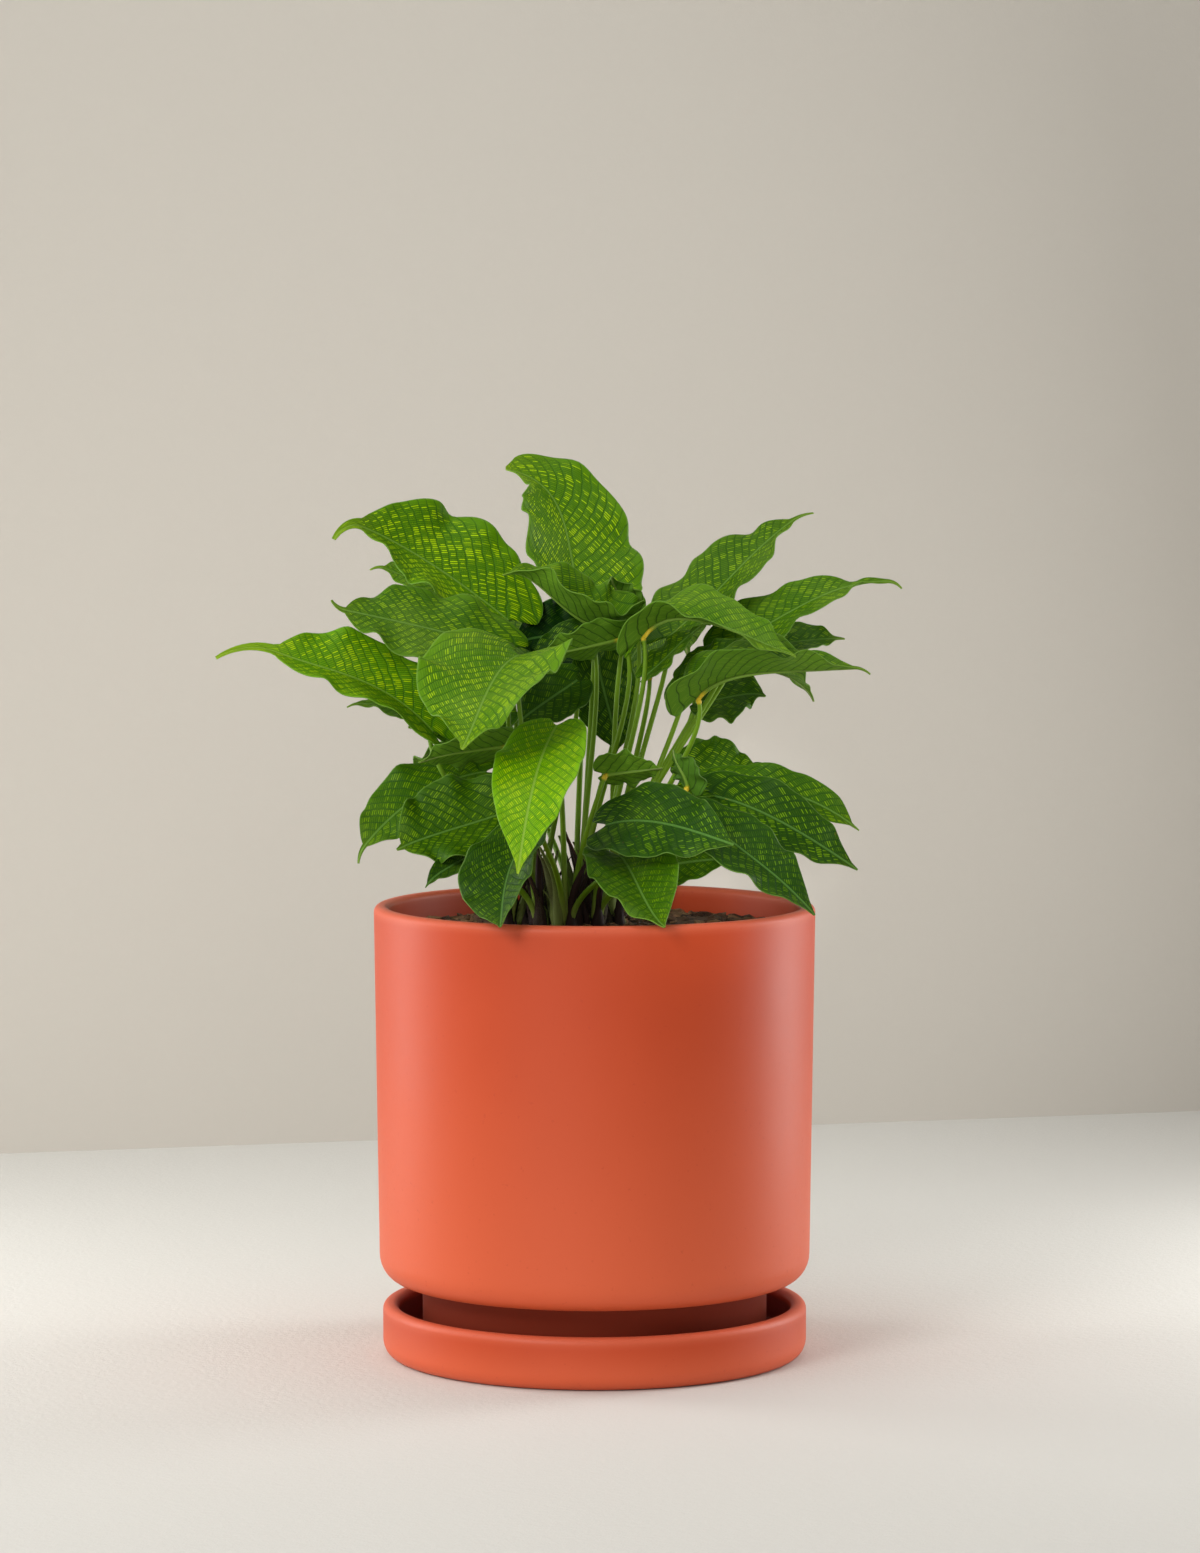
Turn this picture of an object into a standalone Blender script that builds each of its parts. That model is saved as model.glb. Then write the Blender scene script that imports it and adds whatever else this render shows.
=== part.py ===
"""Network calathea growing in a glazed cylinder pot that stands in its saucer.

Sizes are millimetres here and metres in the scene. +Z is up and -Y is the front. The origin is the
centre of the saucer's underside.
"""

import math

import bmesh
import bpy
from mathutils import Vector

NAME = "potted_calathea"
MM = 0.001
GAP = 0.3  # between pieces that touch on the real plant

# pot, whose radius drives the saucer's
POT_RADIUS = 101.5
POT_TOP = 208.0
POT_TAPER = 2.2  # how much narrower the wall is at the bottom than at the rim
POT_WALL = 7.0
POT_LIP = 3.0
POT_CORNER_IN = 10.0
POT_CORNER_UP = 12.0
POT_FLOOR = 7.0
DRAIN_RADIUS = 8.0

# saucer
SAUCER_INSET = 3.7  # how much smaller its radius is than the pot's
SAUCER_RADIUS = POT_RADIUS - SAUCER_INSET
SAUCER_HEIGHT = 24.0
SAUCER_WALL = 7.2
SAUCER_FLOOR = 6.0
SAUCER_LIP = 3.2
SAUCER_COVE = 4.0
SAUCER_UNDER_IN = 5.5  # the underside's edge is drawn in this far, over this height
SAUCER_UNDER_UP = 7.5

# where the pot stands in the saucer
FOOT_ROOM = 11.1  # free ring between the pot's foot and the saucer's wall
STEP_ROOM = 11.0  # from the saucer's rim up to the end of the pot's wide wall
POT_FOOT_RADIUS = SAUCER_RADIUS - SAUCER_WALL - FOOT_ROOM
POT_STEP = SAUCER_HEIGHT + STEP_ROOM
POT_BASE = SAUCER_FLOOR + GAP
ROUND_STEPS = 48
ARC_STEPS = 3

# soil
SOIL_DROP = 11.0  # from the rim down to the soil
SOIL_CROWN = 3.0
SOIL_LEVEL = 0.55  # share of the radius over which the middle is level
SOIL_TOP = POT_TOP - SOIL_DROP
SOIL_STEPS = 40

# stalks and the sheaths that wrap their feet
STALK_RADIUS = 1.5
STALK_TIP_SHARE = 0.75
STALK_POINTS = 6
STALK_SIDES_LEVEL = 1
STALK_SEAT = 1.4  # from the middle of a blade down to the end of its stalk
STALK_RISE = 0.38  # share of a stalk's length that it keeps straight up
STALK_BEND = 0.2  # share of its length over which it turns into the blade
FOOT_SPREAD = 2.2
SHEATH_RADIUS = 5.0
SHEATH_TOP_RADIUS = 3.4
SHEATH_HEIGHT = 24.0
SHEATH_SIDES = 12

# blades
BLADE_THICKNESS = 0.8
BLADE_CELLS = 7
BLADE_CELLS_ACROSS = 4
BLADE_SHARE = 0.9  # the rest of a leaf's length is its drawn-out tail
WIDEST = 0.36
BASE_WIDTH = 0.26
TAIL_WIDTH = 0.08
BLUNT = 1.15
RIPPLE = 0.1
RIPPLE_WAVES = 2.6
LOBE_BACK = 0.14
UP = Vector((0, 0, 1))

# shoots: where each clump of stalks leaves the soil, x and y
SHOOTS = {
    "a": (-36, 4),
    "b": (-24, -6),
    "c": (-13, -13),
    "d": (-1, -7),
    "e": (8, 3),
    "f": (-27, 16),
    "g": (-9, 20),
    "h": (5, 18),
}

# leaves: rib is four points of the midrib with heights above the soil's edge, half the greatest
# half width, roll the twist in degrees at base and tip, fold how far the left and right halves
# rise, tail its length and droop
LEAVES = {
    "leaf_top": {
        "rib": ((1, 18, 142), (-10, 40, 164), (-17, 61, 191), (-39, 66, 209)),
        "half": 33, "roll": (0, 0), "fold": (20, 18), "tail": (3, 0), "phase": 0.6, "shoot": "g",
        "blunt": 0.65, "ripple": 0.05, "lobe": 0.03,
    },
    "leaf_top_small": {
        "rib": ((17, 6, 143), (-4, 0, 141), (-22, -4, 155), (-38, -4, 163)),
        "half": 21, "roll": (-22, -22), "fold": (48, 48), "tail": (4, 0), "phase": 1.7, "shoot": "d",
    },
    "leaf_top_curl": {
        "rib": ((17, 14, 142), (14, 14, 149), (10, 12, 155), (8, 4, 161)),
        "half": 9, "roll": (0, 0), "fold": (35, 35), "tail": (6, 120), "phase": 2.9, "shoot": "h",
    },
    "leaf_left_1": {
        "rib": ((-40, 32, 140), (-64, 34, 158), (-87, 32, 173), (-108, 22, 184)),
        "half": 32, "roll": (-46, -44), "fold": (22, 22), "tail": (15, 85), "phase": 0.2, "shoot": "f",
        "blunt": 1.0, "widest": 0.42,
    },
    "leaf_left_2": {
        "rib": ((-40, -12, 129), (-65, -17, 136), (-90, -20, 142), (-113, -22, 147)),
        "half": 25, "roll": (-38, -38), "fold": (6, 6), "tail": (8, -50), "phase": 1.4, "shoot": "a",
        "blunt": 0.8, "widest": 0.45,
    },
    "leaf_left_3": {
        "rib": ((-74, -10, 91), (-97, -14, 110), (-121, -18, 120), (-145, -20, 128)),
        "half": 21, "roll": (-48, -48), "fold": (30, 30), "tail": (27, 55), "phase": 2.3, "shoot": "a",
        "blunt": 0.8, "widest": 0.5, "sway": (0, -20, 0),
    },
    "leaf_left_4": {
        "rib": ((-44, 44, 144), (-69, 48, 153), (-86, 48, 159), (-98, 42, 164)),
        "half": 18, "roll": (-30, -30), "fold": (10, 10), "tail": (8, 50), "phase": 3.3, "shoot": "f",
    },
    "leaf_left_5": {
        "rib": ((-61, 26, 95), (-81, 26, 98), (-96, 24, 101), (-110, 20, 102)),
        "half": 12, "roll": (-30, -30), "fold": (10, 10), "tail": (5, 30), "phase": 0.9, "shoot": "f",
    },
    "leaf_left_6": {
        "rib": ((-41, 14, 101), (-56, 14, 98), (-69, 12, 94), (-83, 8, 92)),
        "half": 17, "roll": (-60, -50), "fold": (10, 10), "tail": (3, 0), "phase": 5, "shoot": "f",
    },
    "leaf_front_1": {
        "rib": ((-34, -28, 127), (-44, -56, 119), (-51, -78, 105), (-57, -90, 91)),
        "half": 35, "roll": (-26, -12), "fold": (38, 0), "tail": (3, 0), "phase": 4.1, "shoot": "b",
    },
    "leaf_front_2": {
        "rib": ((-17, -40, 96), (-24, -72, 82), (-29, -96, 63), (-33, -106, 39)),
        "half": 20, "roll": (0, 0), "fold": (8, 8), "tail": (4, 0), "phase": 5.2, "shoot": "c",
        "ripple": 0.06, "lobe": 0.07,
    },
    "leaf_front_3": {
        "rib": ((-37, -15, 86), (-52, -20, 84), (-65, -24, 82), (-77, -26, 79)),
        "half": 17, "roll": (35, 35), "fold": (5, 5), "tail": (3, 0), "phase": 0.5, "shoot": "b",
        "lobe": 0.06,
    },
    "leaf_front_4": {
        "rib": ((21, -20, 134), (40, -26, 144), (64, -38, 138), (87, -50, 129)),
        "half": 17, "roll": (-5, 30), "fold": (40, 26), "tail": (4, 20), "phase": 1.1, "shoot": "d",
        "lobe": 0.16,
    },
    "leaf_front_5": {
        "rib": ((13, -4, 134), (0, -10, 131), (-13, -12, 128), (-27, -13, 125)),
        "half": 14, "roll": (40, 40), "fold": (12, 12), "tail": (3, 0), "phase": 2.2, "shoot": "g",
    },
    "leaf_right_1": {
        "rib": ((34, 16, 133), (53, 26, 150), (72, 34, 169), (92, 40, 186)),
        "half": 22, "roll": (22, 20), "fold": (18, 18), "tail": (11, 30), "phase": 4.4, "shoot": "h",
        "blunt": 1.0,
    },
    "leaf_right_2": {
        "rib": ((62, 10, 130), (85, 12, 142), (109, 12, 154), (135, 8, 159)),
        "half": 18, "roll": (36, 34), "fold": (16, 16), "tail": (7, 50), "phase": 4.4, "shoot": "h",
        "blunt": 2.3, "widest": 0.28,
    },
    "leaf_right_3": {
        "rib": ((46, -18, 106), (63, -26, 117), (89, -30, 120), (117, -33, 121)),
        "half": 22, "roll": (8, 8), "fold": (40, 40), "tail": (8, 45), "phase": 5.3, "shoot": "e",
    },
    "leaf_right_4": {
        "rib": ((65, 23, 126), (82, 25, 129), (98, 26, 131), (112, 26, 132)),
        "half": 17, "roll": (30, 30), "fold": (12, 12), "tail": (4, 10), "phase": 0.4, "shoot": "h",
        "sway": (-3, -14, 0),
    },
    "leaf_right_5": {
        "rib": ((48, 40, 102), (58, 41, 103), (69, 41, 105), (78, 39, 105)),
        "half": 19, "roll": (40, 40), "fold": (10, 10), "tail": (2, 0), "phase": 1.3, "shoot": "h",
    },
    "leaf_inner_1": {
        "rib": ((41, 0, 116), (50, 0, 122), (59, 0, 128), (68, 0, 133)),
        "half": 10, "roll": (30, 30), "fold": (12, 12), "tail": (3, 0), "phase": 2.6, "shoot": "e",
    },
    "leaf_inner_2": {
        "rib": ((24, -8, 117), (32, -8, 124), (40, -9, 132), (48, -10, 139)),
        "half": 10, "roll": (30, 30), "fold": (12, 12), "tail": (3, 0), "phase": 3.7, "shoot": "h",
    },
    "leaf_inner_3": {
        "rib": ((-7, 42, 134), (-17, 40, 133), (-27, 38, 132), (-37, 34, 129)),
        "half": 17, "roll": (-70, -70), "fold": (8, 8), "tail": (2, 0), "phase": 4.6, "shoot": "g",
    },
    "leaf_inner_4": {
        "rib": ((-1, 8, 135), (-10, 8, 133), (-20, 8, 129), (-29, 8, 125)),
        "half": 9, "roll": (-64, -64), "fold": (8, 8), "tail": (2, 0), "phase": 5.7, "shoot": "g",
    },
    "leaf_inner_5": {
        "rib": ((2, 28, 122), (4, 27, 109), (8, 26, 94), (10, 25, 81)),
        "half": 16, "roll": (66, 66), "fold": (8, 8), "tail": (2, 0), "phase": 0.8, "shoot": "g",
    },
    "leaf_inner_6": {
        "rib": ((-8, 2, 114), (-17, -2, 108), (-26, -6, 102), (-34, -10, 96)),
        "half": 14, "roll": (-50, -50), "fold": (8, 8), "tail": (2, 0), "phase": 1.9, "shoot": "f",
    },
    "leaf_low_1": {
        "rib": ((-50, 13, 71), (-72, 7, 65), (-90, -1, 54), (-105, -9, 39)),
        "half": 18, "roll": (-35, -35), "fold": (12, 12), "tail": (9, 40), "phase": 3.9, "shoot": "a",
        "blunt": 0.8, "widest": 0.5,
    },
    "leaf_low_2": {
        "rib": ((-37, -20, 56), (-56, -23, 50), (-73, -27, 45), (-87, -31, 40)),
        "half": 24, "roll": (-48, -48), "fold": (22, 22), "tail": (3, 0), "phase": 4.8, "shoot": "b",
        "blunt": 0.7, "widest": 0.48,
    },
    "leaf_low_3": {
        "rib": ((-25, -56, 52), (-36, -76, 38), (-40, -94, 24), (-41, -108, 13)),
        "half": 24, "roll": (8, 8), "fold": (34, 4), "tail": (2, 0), "phase": 5.9, "shoot": "c",
        "ripple": 0.05,
    },
    "leaf_low_4": {
        "rib": ((-52, -30, 39), (-61, -38, 34), (-69, -45, 30), (-75, -50, 25)),
        "half": 7, "roll": (-30, -30), "fold": (15, 15), "tail": (2, 0), "phase": 0.7, "shoot": "b",
    },
    "leaf_low_5": {
        "rib": ((11, -40, 37), (17, -60, 30), (23, -84, 20), (30, -106, 12)),
        "half": 22, "roll": (-5, -5), "fold": (42, 6), "tail": (2, 0), "phase": 1.5, "shoot": "c",
        "ripple": 0.05,
    },
    "leaf_low_6": {
        "rib": ((5, -44, 51), (24, -58, 54), (43, -70, 51), (60, -80, 46)),
        "half": 20, "roll": (48, 50), "fold": (4, 4), "tail": (2, 0), "phase": 2.4, "shoot": "d",
        "sway": (0, 0, 8),
    },
    "leaf_low_7": {
        "rib": ((21, -36, 32), (35, -40, 33), (48, -44, 35), (62, -48, 36)),
        "half": 11, "roll": (60, 60), "fold": (4, 4), "tail": (2, 0), "phase": 3.2, "shoot": "d",
    },
    "leaf_low_8": {
        "rib": ((40, 28, 65), (52, 28, 65), (65, 29, 66), (77, 31, 68)),
        "half": 22, "roll": (52, 52), "fold": (18, 18), "tail": (3, 0), "phase": 4.2, "shoot": "e",
        "blunt": 0.8, "widest": 0.45, "ripple": 0.05,
    },
    "leaf_low_9": {
        "rib": ((57, 36, 61), (69, 36, 63), (81, 36, 65), (91, 36, 64)),
        "half": 11, "roll": (50, 50), "fold": (10, 10), "tail": (2, 0), "phase": 5.1, "shoot": "h",
    },
    "leaf_low_10": {
        "rib": ((48, 2, 65), (70, -2, 66), (94, -6, 61), (117, -12, 49)),
        "half": 12, "roll": (42, 45), "fold": (15, 15), "tail": (5, 0), "phase": 0.3, "shoot": "e",
        "blunt": 0.9, "widest": 0.6,
    },
    "leaf_low_11": {
        "rib": ((55, -18, 62), (76, -20, 55), (97, -26, 44), (116, -32, 32)),
        "half": 17, "roll": (45, 50), "fold": (10, 10), "tail": (4, 0), "phase": 1.6, "shoot": "e",
    },
    "leaf_low_12": {
        "rib": ((47, -45, 56), (64, -60, 43), (80, -70, 31), (96, -78, 16)),
        "half": 18, "roll": (20, 25), "fold": (10, 10), "tail": (3, 0), "phase": 2.7, "shoot": "d",
    },
    "leaf_low_13": {
        "rib": ((4, -28, 73), (12, -30, 74), (21, -32, 75), (29, -34, 76)),
        "half": 13, "roll": (-40, -40), "fold": (10, 10), "tail": (2, 0), "phase": 3.6, "shoot": "c",
    },
    "leaf_low_14": {
        "rib": ((43, -24, 66), (41, -26, 72), (38, -26, 77), (36, -24, 82)),
        "half": 12, "roll": (30, 30), "fold": (10, 10), "tail": (2, 0), "phase": 4.9, "shoot": "d",
    },
    "leaf_back_1": {
        "rib": ((-24, 58, 115), (-46, 80, 131), (-66, 98, 137), (-86, 114, 131)),
        "half": 24, "roll": (0, 0), "fold": (14, 14), "tail": (6, 20), "phase": 5.5, "shoot": "f",
    },
    "leaf_back_2": {
        "rib": ((15, 56, 117), (26, 82, 131), (36, 104, 133), (44, 124, 123)),
        "half": 28, "roll": (0, 0), "fold": (14, 14), "tail": (6, 20), "phase": 0.1, "shoot": "g",
    },
    "leaf_back_3": {
        "rib": ((46, 66, 103), (66, 80, 113), (86, 92, 113), (102, 102, 103)),
        "half": 24, "roll": (0, 0), "fold": (14, 14), "tail": (6, 20), "phase": 1, "shoot": "h",
    },
    "leaf_back_4": {
        "rib": ((-44, 42, 75), (-58, 56, 77), (-72, 70, 71), (-84, 84, 57)),
        "half": 20, "roll": (0, 0), "fold": (12, 12), "tail": (6, 20), "phase": 2.1, "shoot": "f",
        "lobe": 0.08,
    },
    "leaf_back_5": {
        "rib": ((-27, 58, 59), (-36, 80, 59), (-45, 97, 47), (-52, 110, 29)),
        "half": 24, "roll": (0, 0), "fold": (12, 12), "tail": (6, 20), "phase": 3, "shoot": "g",
        "lobe": 0.06,
    },
    "leaf_back_6": {
        "rib": ((46, 56, 45), (62, 68, 49), (78, 80, 43), (88, 92, 29)),
        "half": 20, "roll": (0, 0), "fold": (12, 12), "tail": (6, 20), "phase": 4, "shoot": "h",
        "lobe": 0.08,
    },
}


def start_scene():
    for item in list(bpy.data.objects):
        bpy.data.objects.remove(item, do_unlink=True)
    for group in list(bpy.data.collections):
        bpy.data.collections.remove(group)
    parts = bpy.data.collections.new(NAME)
    helpers = bpy.data.collections.new("helpers")
    bpy.context.scene.collection.children.link(parts)
    bpy.context.scene.collection.children.link(helpers)
    return parts, helpers


def material(name, colour, roughness):
    made = bpy.data.materials.new(name)
    made.use_nodes = True
    shader = made.node_tree.nodes["Principled BSDF"]
    shader.inputs["Base Color"].default_value = (*colour, 1)
    shader.inputs["Roughness"].default_value = roughness
    return made


def piece(name, mesh, group, look=None):
    made = bpy.data.objects.new(name, mesh)
    group.objects.link(made)
    if look:
        mesh.materials.append(look)
    return made


def arc(centre, radii, start, end):
    """Points on a quarter or less of an ellipse, in the plane of radius and height."""
    points = []
    for i in range(ARC_STEPS + 1):
        angle = math.radians(start + (end - start) * i / ARC_STEPS)
        points.append((centre[0] + radii[0] * math.cos(angle), centre[1] + radii[1] * math.sin(angle)))
    return points


def turned(name, profile, steps, group, look):
    """A turned piece: a closed profile at +X swept once round the Z axis."""
    shape = bmesh.new()
    ring = [shape.verts.new((r * MM, 0, z * MM)) for r, z in profile]
    closed = profile[0][0] > 0
    pairs = zip(ring, ring[1:] + ring[:1]) if closed else zip(ring, ring[1:])
    for a, b in pairs:
        shape.edges.new((a, b))
    mesh = bpy.data.meshes.new(name)
    shape.to_mesh(mesh)
    shape.free()
    made = piece(name, mesh, group, look)
    sweep = made.modifiers.new("turn", "SCREW")
    sweep.axis = "Z"
    sweep.angle = 2 * math.pi
    sweep.steps = steps
    sweep.render_steps = steps
    sweep.use_merge_vertices = True
    sweep.merge_threshold = 0.00001
    return made


def saucer(group):
    """A shallow dish: rolled rim, flat floor, and an underside edge drawn in to a flat foot."""
    rim = SAUCER_LIP
    inner = SAUCER_RADIUS - SAUCER_WALL
    top = SAUCER_HEIGHT
    profile = [(0, SAUCER_FLOOR), (inner - SAUCER_COVE, SAUCER_FLOOR)]
    profile += arc((inner - SAUCER_COVE, SAUCER_FLOOR + SAUCER_COVE), (SAUCER_COVE, SAUCER_COVE), -60, 0)
    profile += arc((inner + rim, top - rim), (rim, rim), 180, 90)
    profile += arc((SAUCER_RADIUS - rim, top - rim), (rim, rim), 80, 0)
    profile += arc(
        (SAUCER_RADIUS - SAUCER_UNDER_IN, SAUCER_UNDER_UP), (SAUCER_UNDER_IN, SAUCER_UNDER_UP), 0, -90
    )
    profile += [(0, 0)]
    look = material("saucer", (0.7, 0.13, 0.05), 0.35)
    return turned("saucer", profile, ROUND_STEPS, group, look)


def pot_inside(clearance):
    """The pot's inner wall from the soil line down to its floor, shrunk by a clearance."""
    low = POT_RADIUS - POT_TAPER - POT_WALL - clearance
    foot = POT_FOOT_RADIUS - POT_WALL - clearance
    shelf = POT_STEP + POT_FLOOR + clearance
    floor = POT_BASE + POT_FLOOR + clearance
    corner = arc((low - POT_CORNER_IN, shelf + POT_CORNER_UP), (POT_CORNER_IN, POT_CORNER_UP), 0, -90)
    return corner + [(foot, shelf), (foot, floor)]


def pot(group):
    """A cylinder with a rounded lip and lower corner, on a narrower foot that stands in the saucer."""
    low = POT_RADIUS - POT_TAPER
    top = POT_TOP
    profile = arc((POT_RADIUS - POT_LIP, top - POT_LIP), (POT_LIP, POT_LIP), 90, 0)
    profile += arc(
        (low - POT_CORNER_IN, POT_STEP + POT_CORNER_UP), (POT_CORNER_IN, POT_CORNER_UP), 0, -90
    )
    profile += [(POT_FOOT_RADIUS, POT_STEP), (POT_FOOT_RADIUS, POT_BASE), (DRAIN_RADIUS, POT_BASE)]
    profile += [(DRAIN_RADIUS, POT_BASE + POT_FLOOR)]
    profile += list(reversed(pot_inside(0)))
    profile += arc((POT_RADIUS - POT_WALL + POT_LIP, top - POT_LIP), (POT_LIP, POT_LIP), 180, 100)
    return turned("pot", profile, ROUND_STEPS, group, material("pot", (0.7, 0.13, 0.05), 0.35))


def soil(group):
    """Potting mix that fills the pot to just under the rim, a little higher in the middle."""
    wall = POT_RADIUS - POT_WALL - GAP
    lean = POT_TAPER * SOIL_DROP / (POT_TOP - POT_STEP - POT_CORNER_UP)
    profile = [(0, SOIL_TOP + SOIL_CROWN), (wall * SOIL_LEVEL, SOIL_TOP + SOIL_CROWN)]
    profile += [(wall - lean, SOIL_TOP)]
    profile += pot_inside(GAP)
    profile += [(0, POT_BASE + POT_FLOOR + GAP)]
    return turned("soil", profile, SOIL_STEPS, group, material("soil", (0.05, 0.03, 0.02), 0.9))


def midrib(points, t):
    """Where a leaf's midrib is at t, and its slope: a cubic through four points in equal steps."""
    first, second, third, last = (Vector(p) + UP * SOIL_TOP for p in points)
    out = (first * -5 + second * 18 - third * 9 + last * 2) / 6
    back = (first * 2 - second * 9 + third * 18 - last * 5) / 6
    s = 1 - t
    here = first * s**3 + out * (3 * s * s * t) + back * (3 * s * t * t) + last * t**3
    slope = (out - first) * (3 * s * s) + (back - out) * (6 * s * t) + (last - back) * (3 * t * t)
    return here, slope


def half_width(t, blunt, widest):
    """The outline, as a share of the greatest half width."""
    if t < widest:
        return BASE_WIDTH + (1 - BASE_WIDTH) * math.sqrt(1 - (1 - t / widest) ** 2)
    q = (t - widest) / (1 - widest)
    return TAIL_WIDTH + (1 - TAIL_WIDTH) * max(0, 1 - q * q) ** blunt


def side_and_normal(ahead, flat, turn):
    side = (flat - ahead * flat.dot(ahead)).normalized()
    normal = side.cross(ahead)
    c = math.cos(turn)
    s = math.sin(turn)
    return side * c - normal * s, normal * c + side * s


def leaf_frame(leaf, s):
    """Midrib point, heading, side, normal and half width at share s of the leaf, tail included."""
    flat = (Vector(leaf["rib"][3]) - Vector(leaf["rib"][0])).cross(UP).normalized()
    t = min(1, s / BLADE_SHARE)
    here, slope = midrib(leaf["rib"], t)
    ahead = slope.normalized()
    width = leaf["half"] * half_width(t, leaf.get("blunt", BLUNT), leaf.get("widest", WIDEST))
    along = max(0, (s - BLADE_SHARE) / (1 - BLADE_SHARE))
    if along > 0:
        tail, droop = leaf["tail"]
        bend = math.radians(droop) * along
        down = side_and_normal(ahead, flat, 0)[1] * -1
        here = here + (ahead * math.cos(bend / 2) + down * math.sin(bend / 2)) * (tail * along)
        ahead = ahead * math.cos(bend) + down * math.sin(bend)
        width = leaf["half"] * TAIL_WIDTH * (1 - 0.7 * along)
    roll = leaf["roll"]
    side, normal = side_and_normal(ahead, flat, math.radians(roll[0] * (1 - t) + roll[1] * t))
    return here, ahead, side, normal, width, t


def blade_point(leaf, s, v):
    """A point of the blade at share s of its length and v across, from -1 at left to 1 at right."""
    here, ahead, side, normal, width, t = leaf_frame(leaf, s)
    length = (Vector(leaf["rib"][3]) - Vector(leaf["rib"][0])).length
    rise = math.radians(leaf["fold"][0] if v < 0 else leaf["fold"][1])
    turn = 2 * math.pi * RIPPLE_WAVES * t + leaf["phase"] + (2.1 if v > 0 else 0)
    wave = leaf.get("ripple", RIPPLE) * leaf["half"] * v * v * math.sin(turn) * min(1, 4 * t, 6 * (1 - t))
    lobe = leaf.get("lobe", LOBE_BACK) * length * (3 * v * v - 2 * abs(v) ** 3) * max(0, 1 - t / 0.6) ** 2
    across = side * (v * width * math.cos(rise)) + normal * (abs(v) * width * math.sin(rise) + wave)
    return here + across - ahead * lobe


def blade(name, leaf, group, look):
    """A flat grid laid on the leaf's curved surface, then thickened evenly to both sides."""
    shape = bmesh.new()
    bmesh.ops.create_grid(shape, x_segments=BLADE_CELLS, y_segments=BLADE_CELLS_ACROSS, size=1)
    for vert in shape.verts:
        share = (vert.co.x + 1) / 2
        s = 0.5 * share + 0.25 * (1 - math.cos(math.pi * share))
        vert.co = blade_point(leaf, s, -vert.co.y) * MM
    mesh = bpy.data.meshes.new(name)
    shape.to_mesh(mesh)
    shape.free()
    made = piece(name, mesh, group, look)
    skin = made.modifiers.new("thickness", "SOLIDIFY")
    skin.thickness = BLADE_THICKNESS * MM
    skin.offset = 0
    skin.use_even_offset = False
    return made


def stalk_route(leaf):
    """From the shoot's foot straight up, leaning out, then over into the underside of the blade."""
    here, ahead, side, normal, width, t = leaf_frame(leaf, 0)
    end = here - normal * STALK_SEAT + ahead
    centre = Vector((*SHOOTS[leaf["shoot"]], SOIL_TOP + SOIL_CROWN + GAP + 1))
    lean = (end - centre).to_2d().normalized() * FOOT_SPREAD
    foot = centre + Vector((lean.x, lean.y, 0))
    reach = (end - foot).length
    up = foot + UP * (reach * STALK_RISE)
    turn = (ahead * 0.3 + normal * 0.55 + UP * 0.5).normalized()
    over = end - turn * (reach * STALK_BEND)
    over += Vector(leaf.get("sway", (0, 0, 0)))
    points = []
    for i in range(STALK_POINTS):
        t = math.sin(math.pi / 2 * i / (STALK_POINTS - 1))
        s = 1 - t
        points.append(foot * s**3 + up * (3 * s * s * t) + over * (3 * s * t * t) + end * t**3)
    return points


def stalk(name, leaf, group):
    curve = bpy.data.curves.new(name, "CURVE")
    curve.dimensions = "3D"
    curve.bevel_depth = STALK_RADIUS * MM
    curve.bevel_resolution = STALK_SIDES_LEVEL
    curve.use_fill_caps = True
    route = stalk_route(leaf)
    line = curve.splines.new("POLY")
    line.points.add(len(route) - 1)
    for i, (knot, point) in enumerate(zip(line.points, route)):
        knot.co = (*(point * MM), 1)
        knot.radius = 1 - (1 - STALK_TIP_SHARE) * i / (len(route) - 1)
    bent = bpy.data.objects.new(name, curve)
    group.objects.link(bent)
    view = bpy.context.evaluated_depsgraph_get()
    mesh = bpy.data.meshes.new_from_object(bent.evaluated_get(view))
    bpy.data.objects.remove(bent, do_unlink=True)
    shape = bmesh.new()
    shape.from_mesh(mesh)
    bmesh.ops.remove_doubles(shape, verts=shape.verts, dist=0.000001)
    bmesh.ops.recalc_face_normals(shape, faces=shape.faces)
    shape.to_mesh(mesh)
    shape.free()
    made = piece(name, mesh, group)
    made.hide_render = True
    made.display_type = "WIRE"
    return made


def shoot(key, group, helpers, look):
    """One clump: all the stalks that grow from one point, with the sheath that wraps their feet."""
    name = "stems_" + key
    low = SOIL_TOP + SOIL_CROWN + GAP
    shape = bmesh.new()
    bmesh.ops.create_cone(
        shape,
        cap_ends=True,
        segments=SHEATH_SIDES,
        radius1=SHEATH_RADIUS * MM,
        radius2=SHEATH_TOP_RADIUS * MM,
        depth=SHEATH_HEIGHT * MM,
    )
    centre = Vector((*SHOOTS[key], low + SHEATH_HEIGHT / 2))
    bmesh.ops.translate(shape, verts=shape.verts, vec=centre * MM)
    mesh = bpy.data.meshes.new(name)
    shape.to_mesh(mesh)
    shape.free()
    made = piece(name, mesh, group, look)
    stalks = bpy.data.collections.new("stalks_" + key)
    helpers.children.link(stalks)
    for leaf_name, leaf in LEAVES.items():
        if leaf["shoot"] == key:
            stalk("stalk_" + leaf_name, leaf, stalks)
    join = made.modifiers.new("stalks", "BOOLEAN")
    join.operation = "UNION"
    join.solver = "EXACT"
    join.operand_type = "COLLECTION"
    join.collection = stalks
    return made


def build():
    parts, helpers = start_scene()
    saucer(parts)
    pot(parts)
    soil(parts)
    green = material("stems", (0.2, 0.35, 0.05), 0.5)
    for key in SHOOTS:
        shoot(key, parts, helpers, green)
    for name, leaf in LEAVES.items():
        blade(name, leaf, parts, material(name, (0.1, 0.3, 0.03), 0.45))


build()
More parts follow.
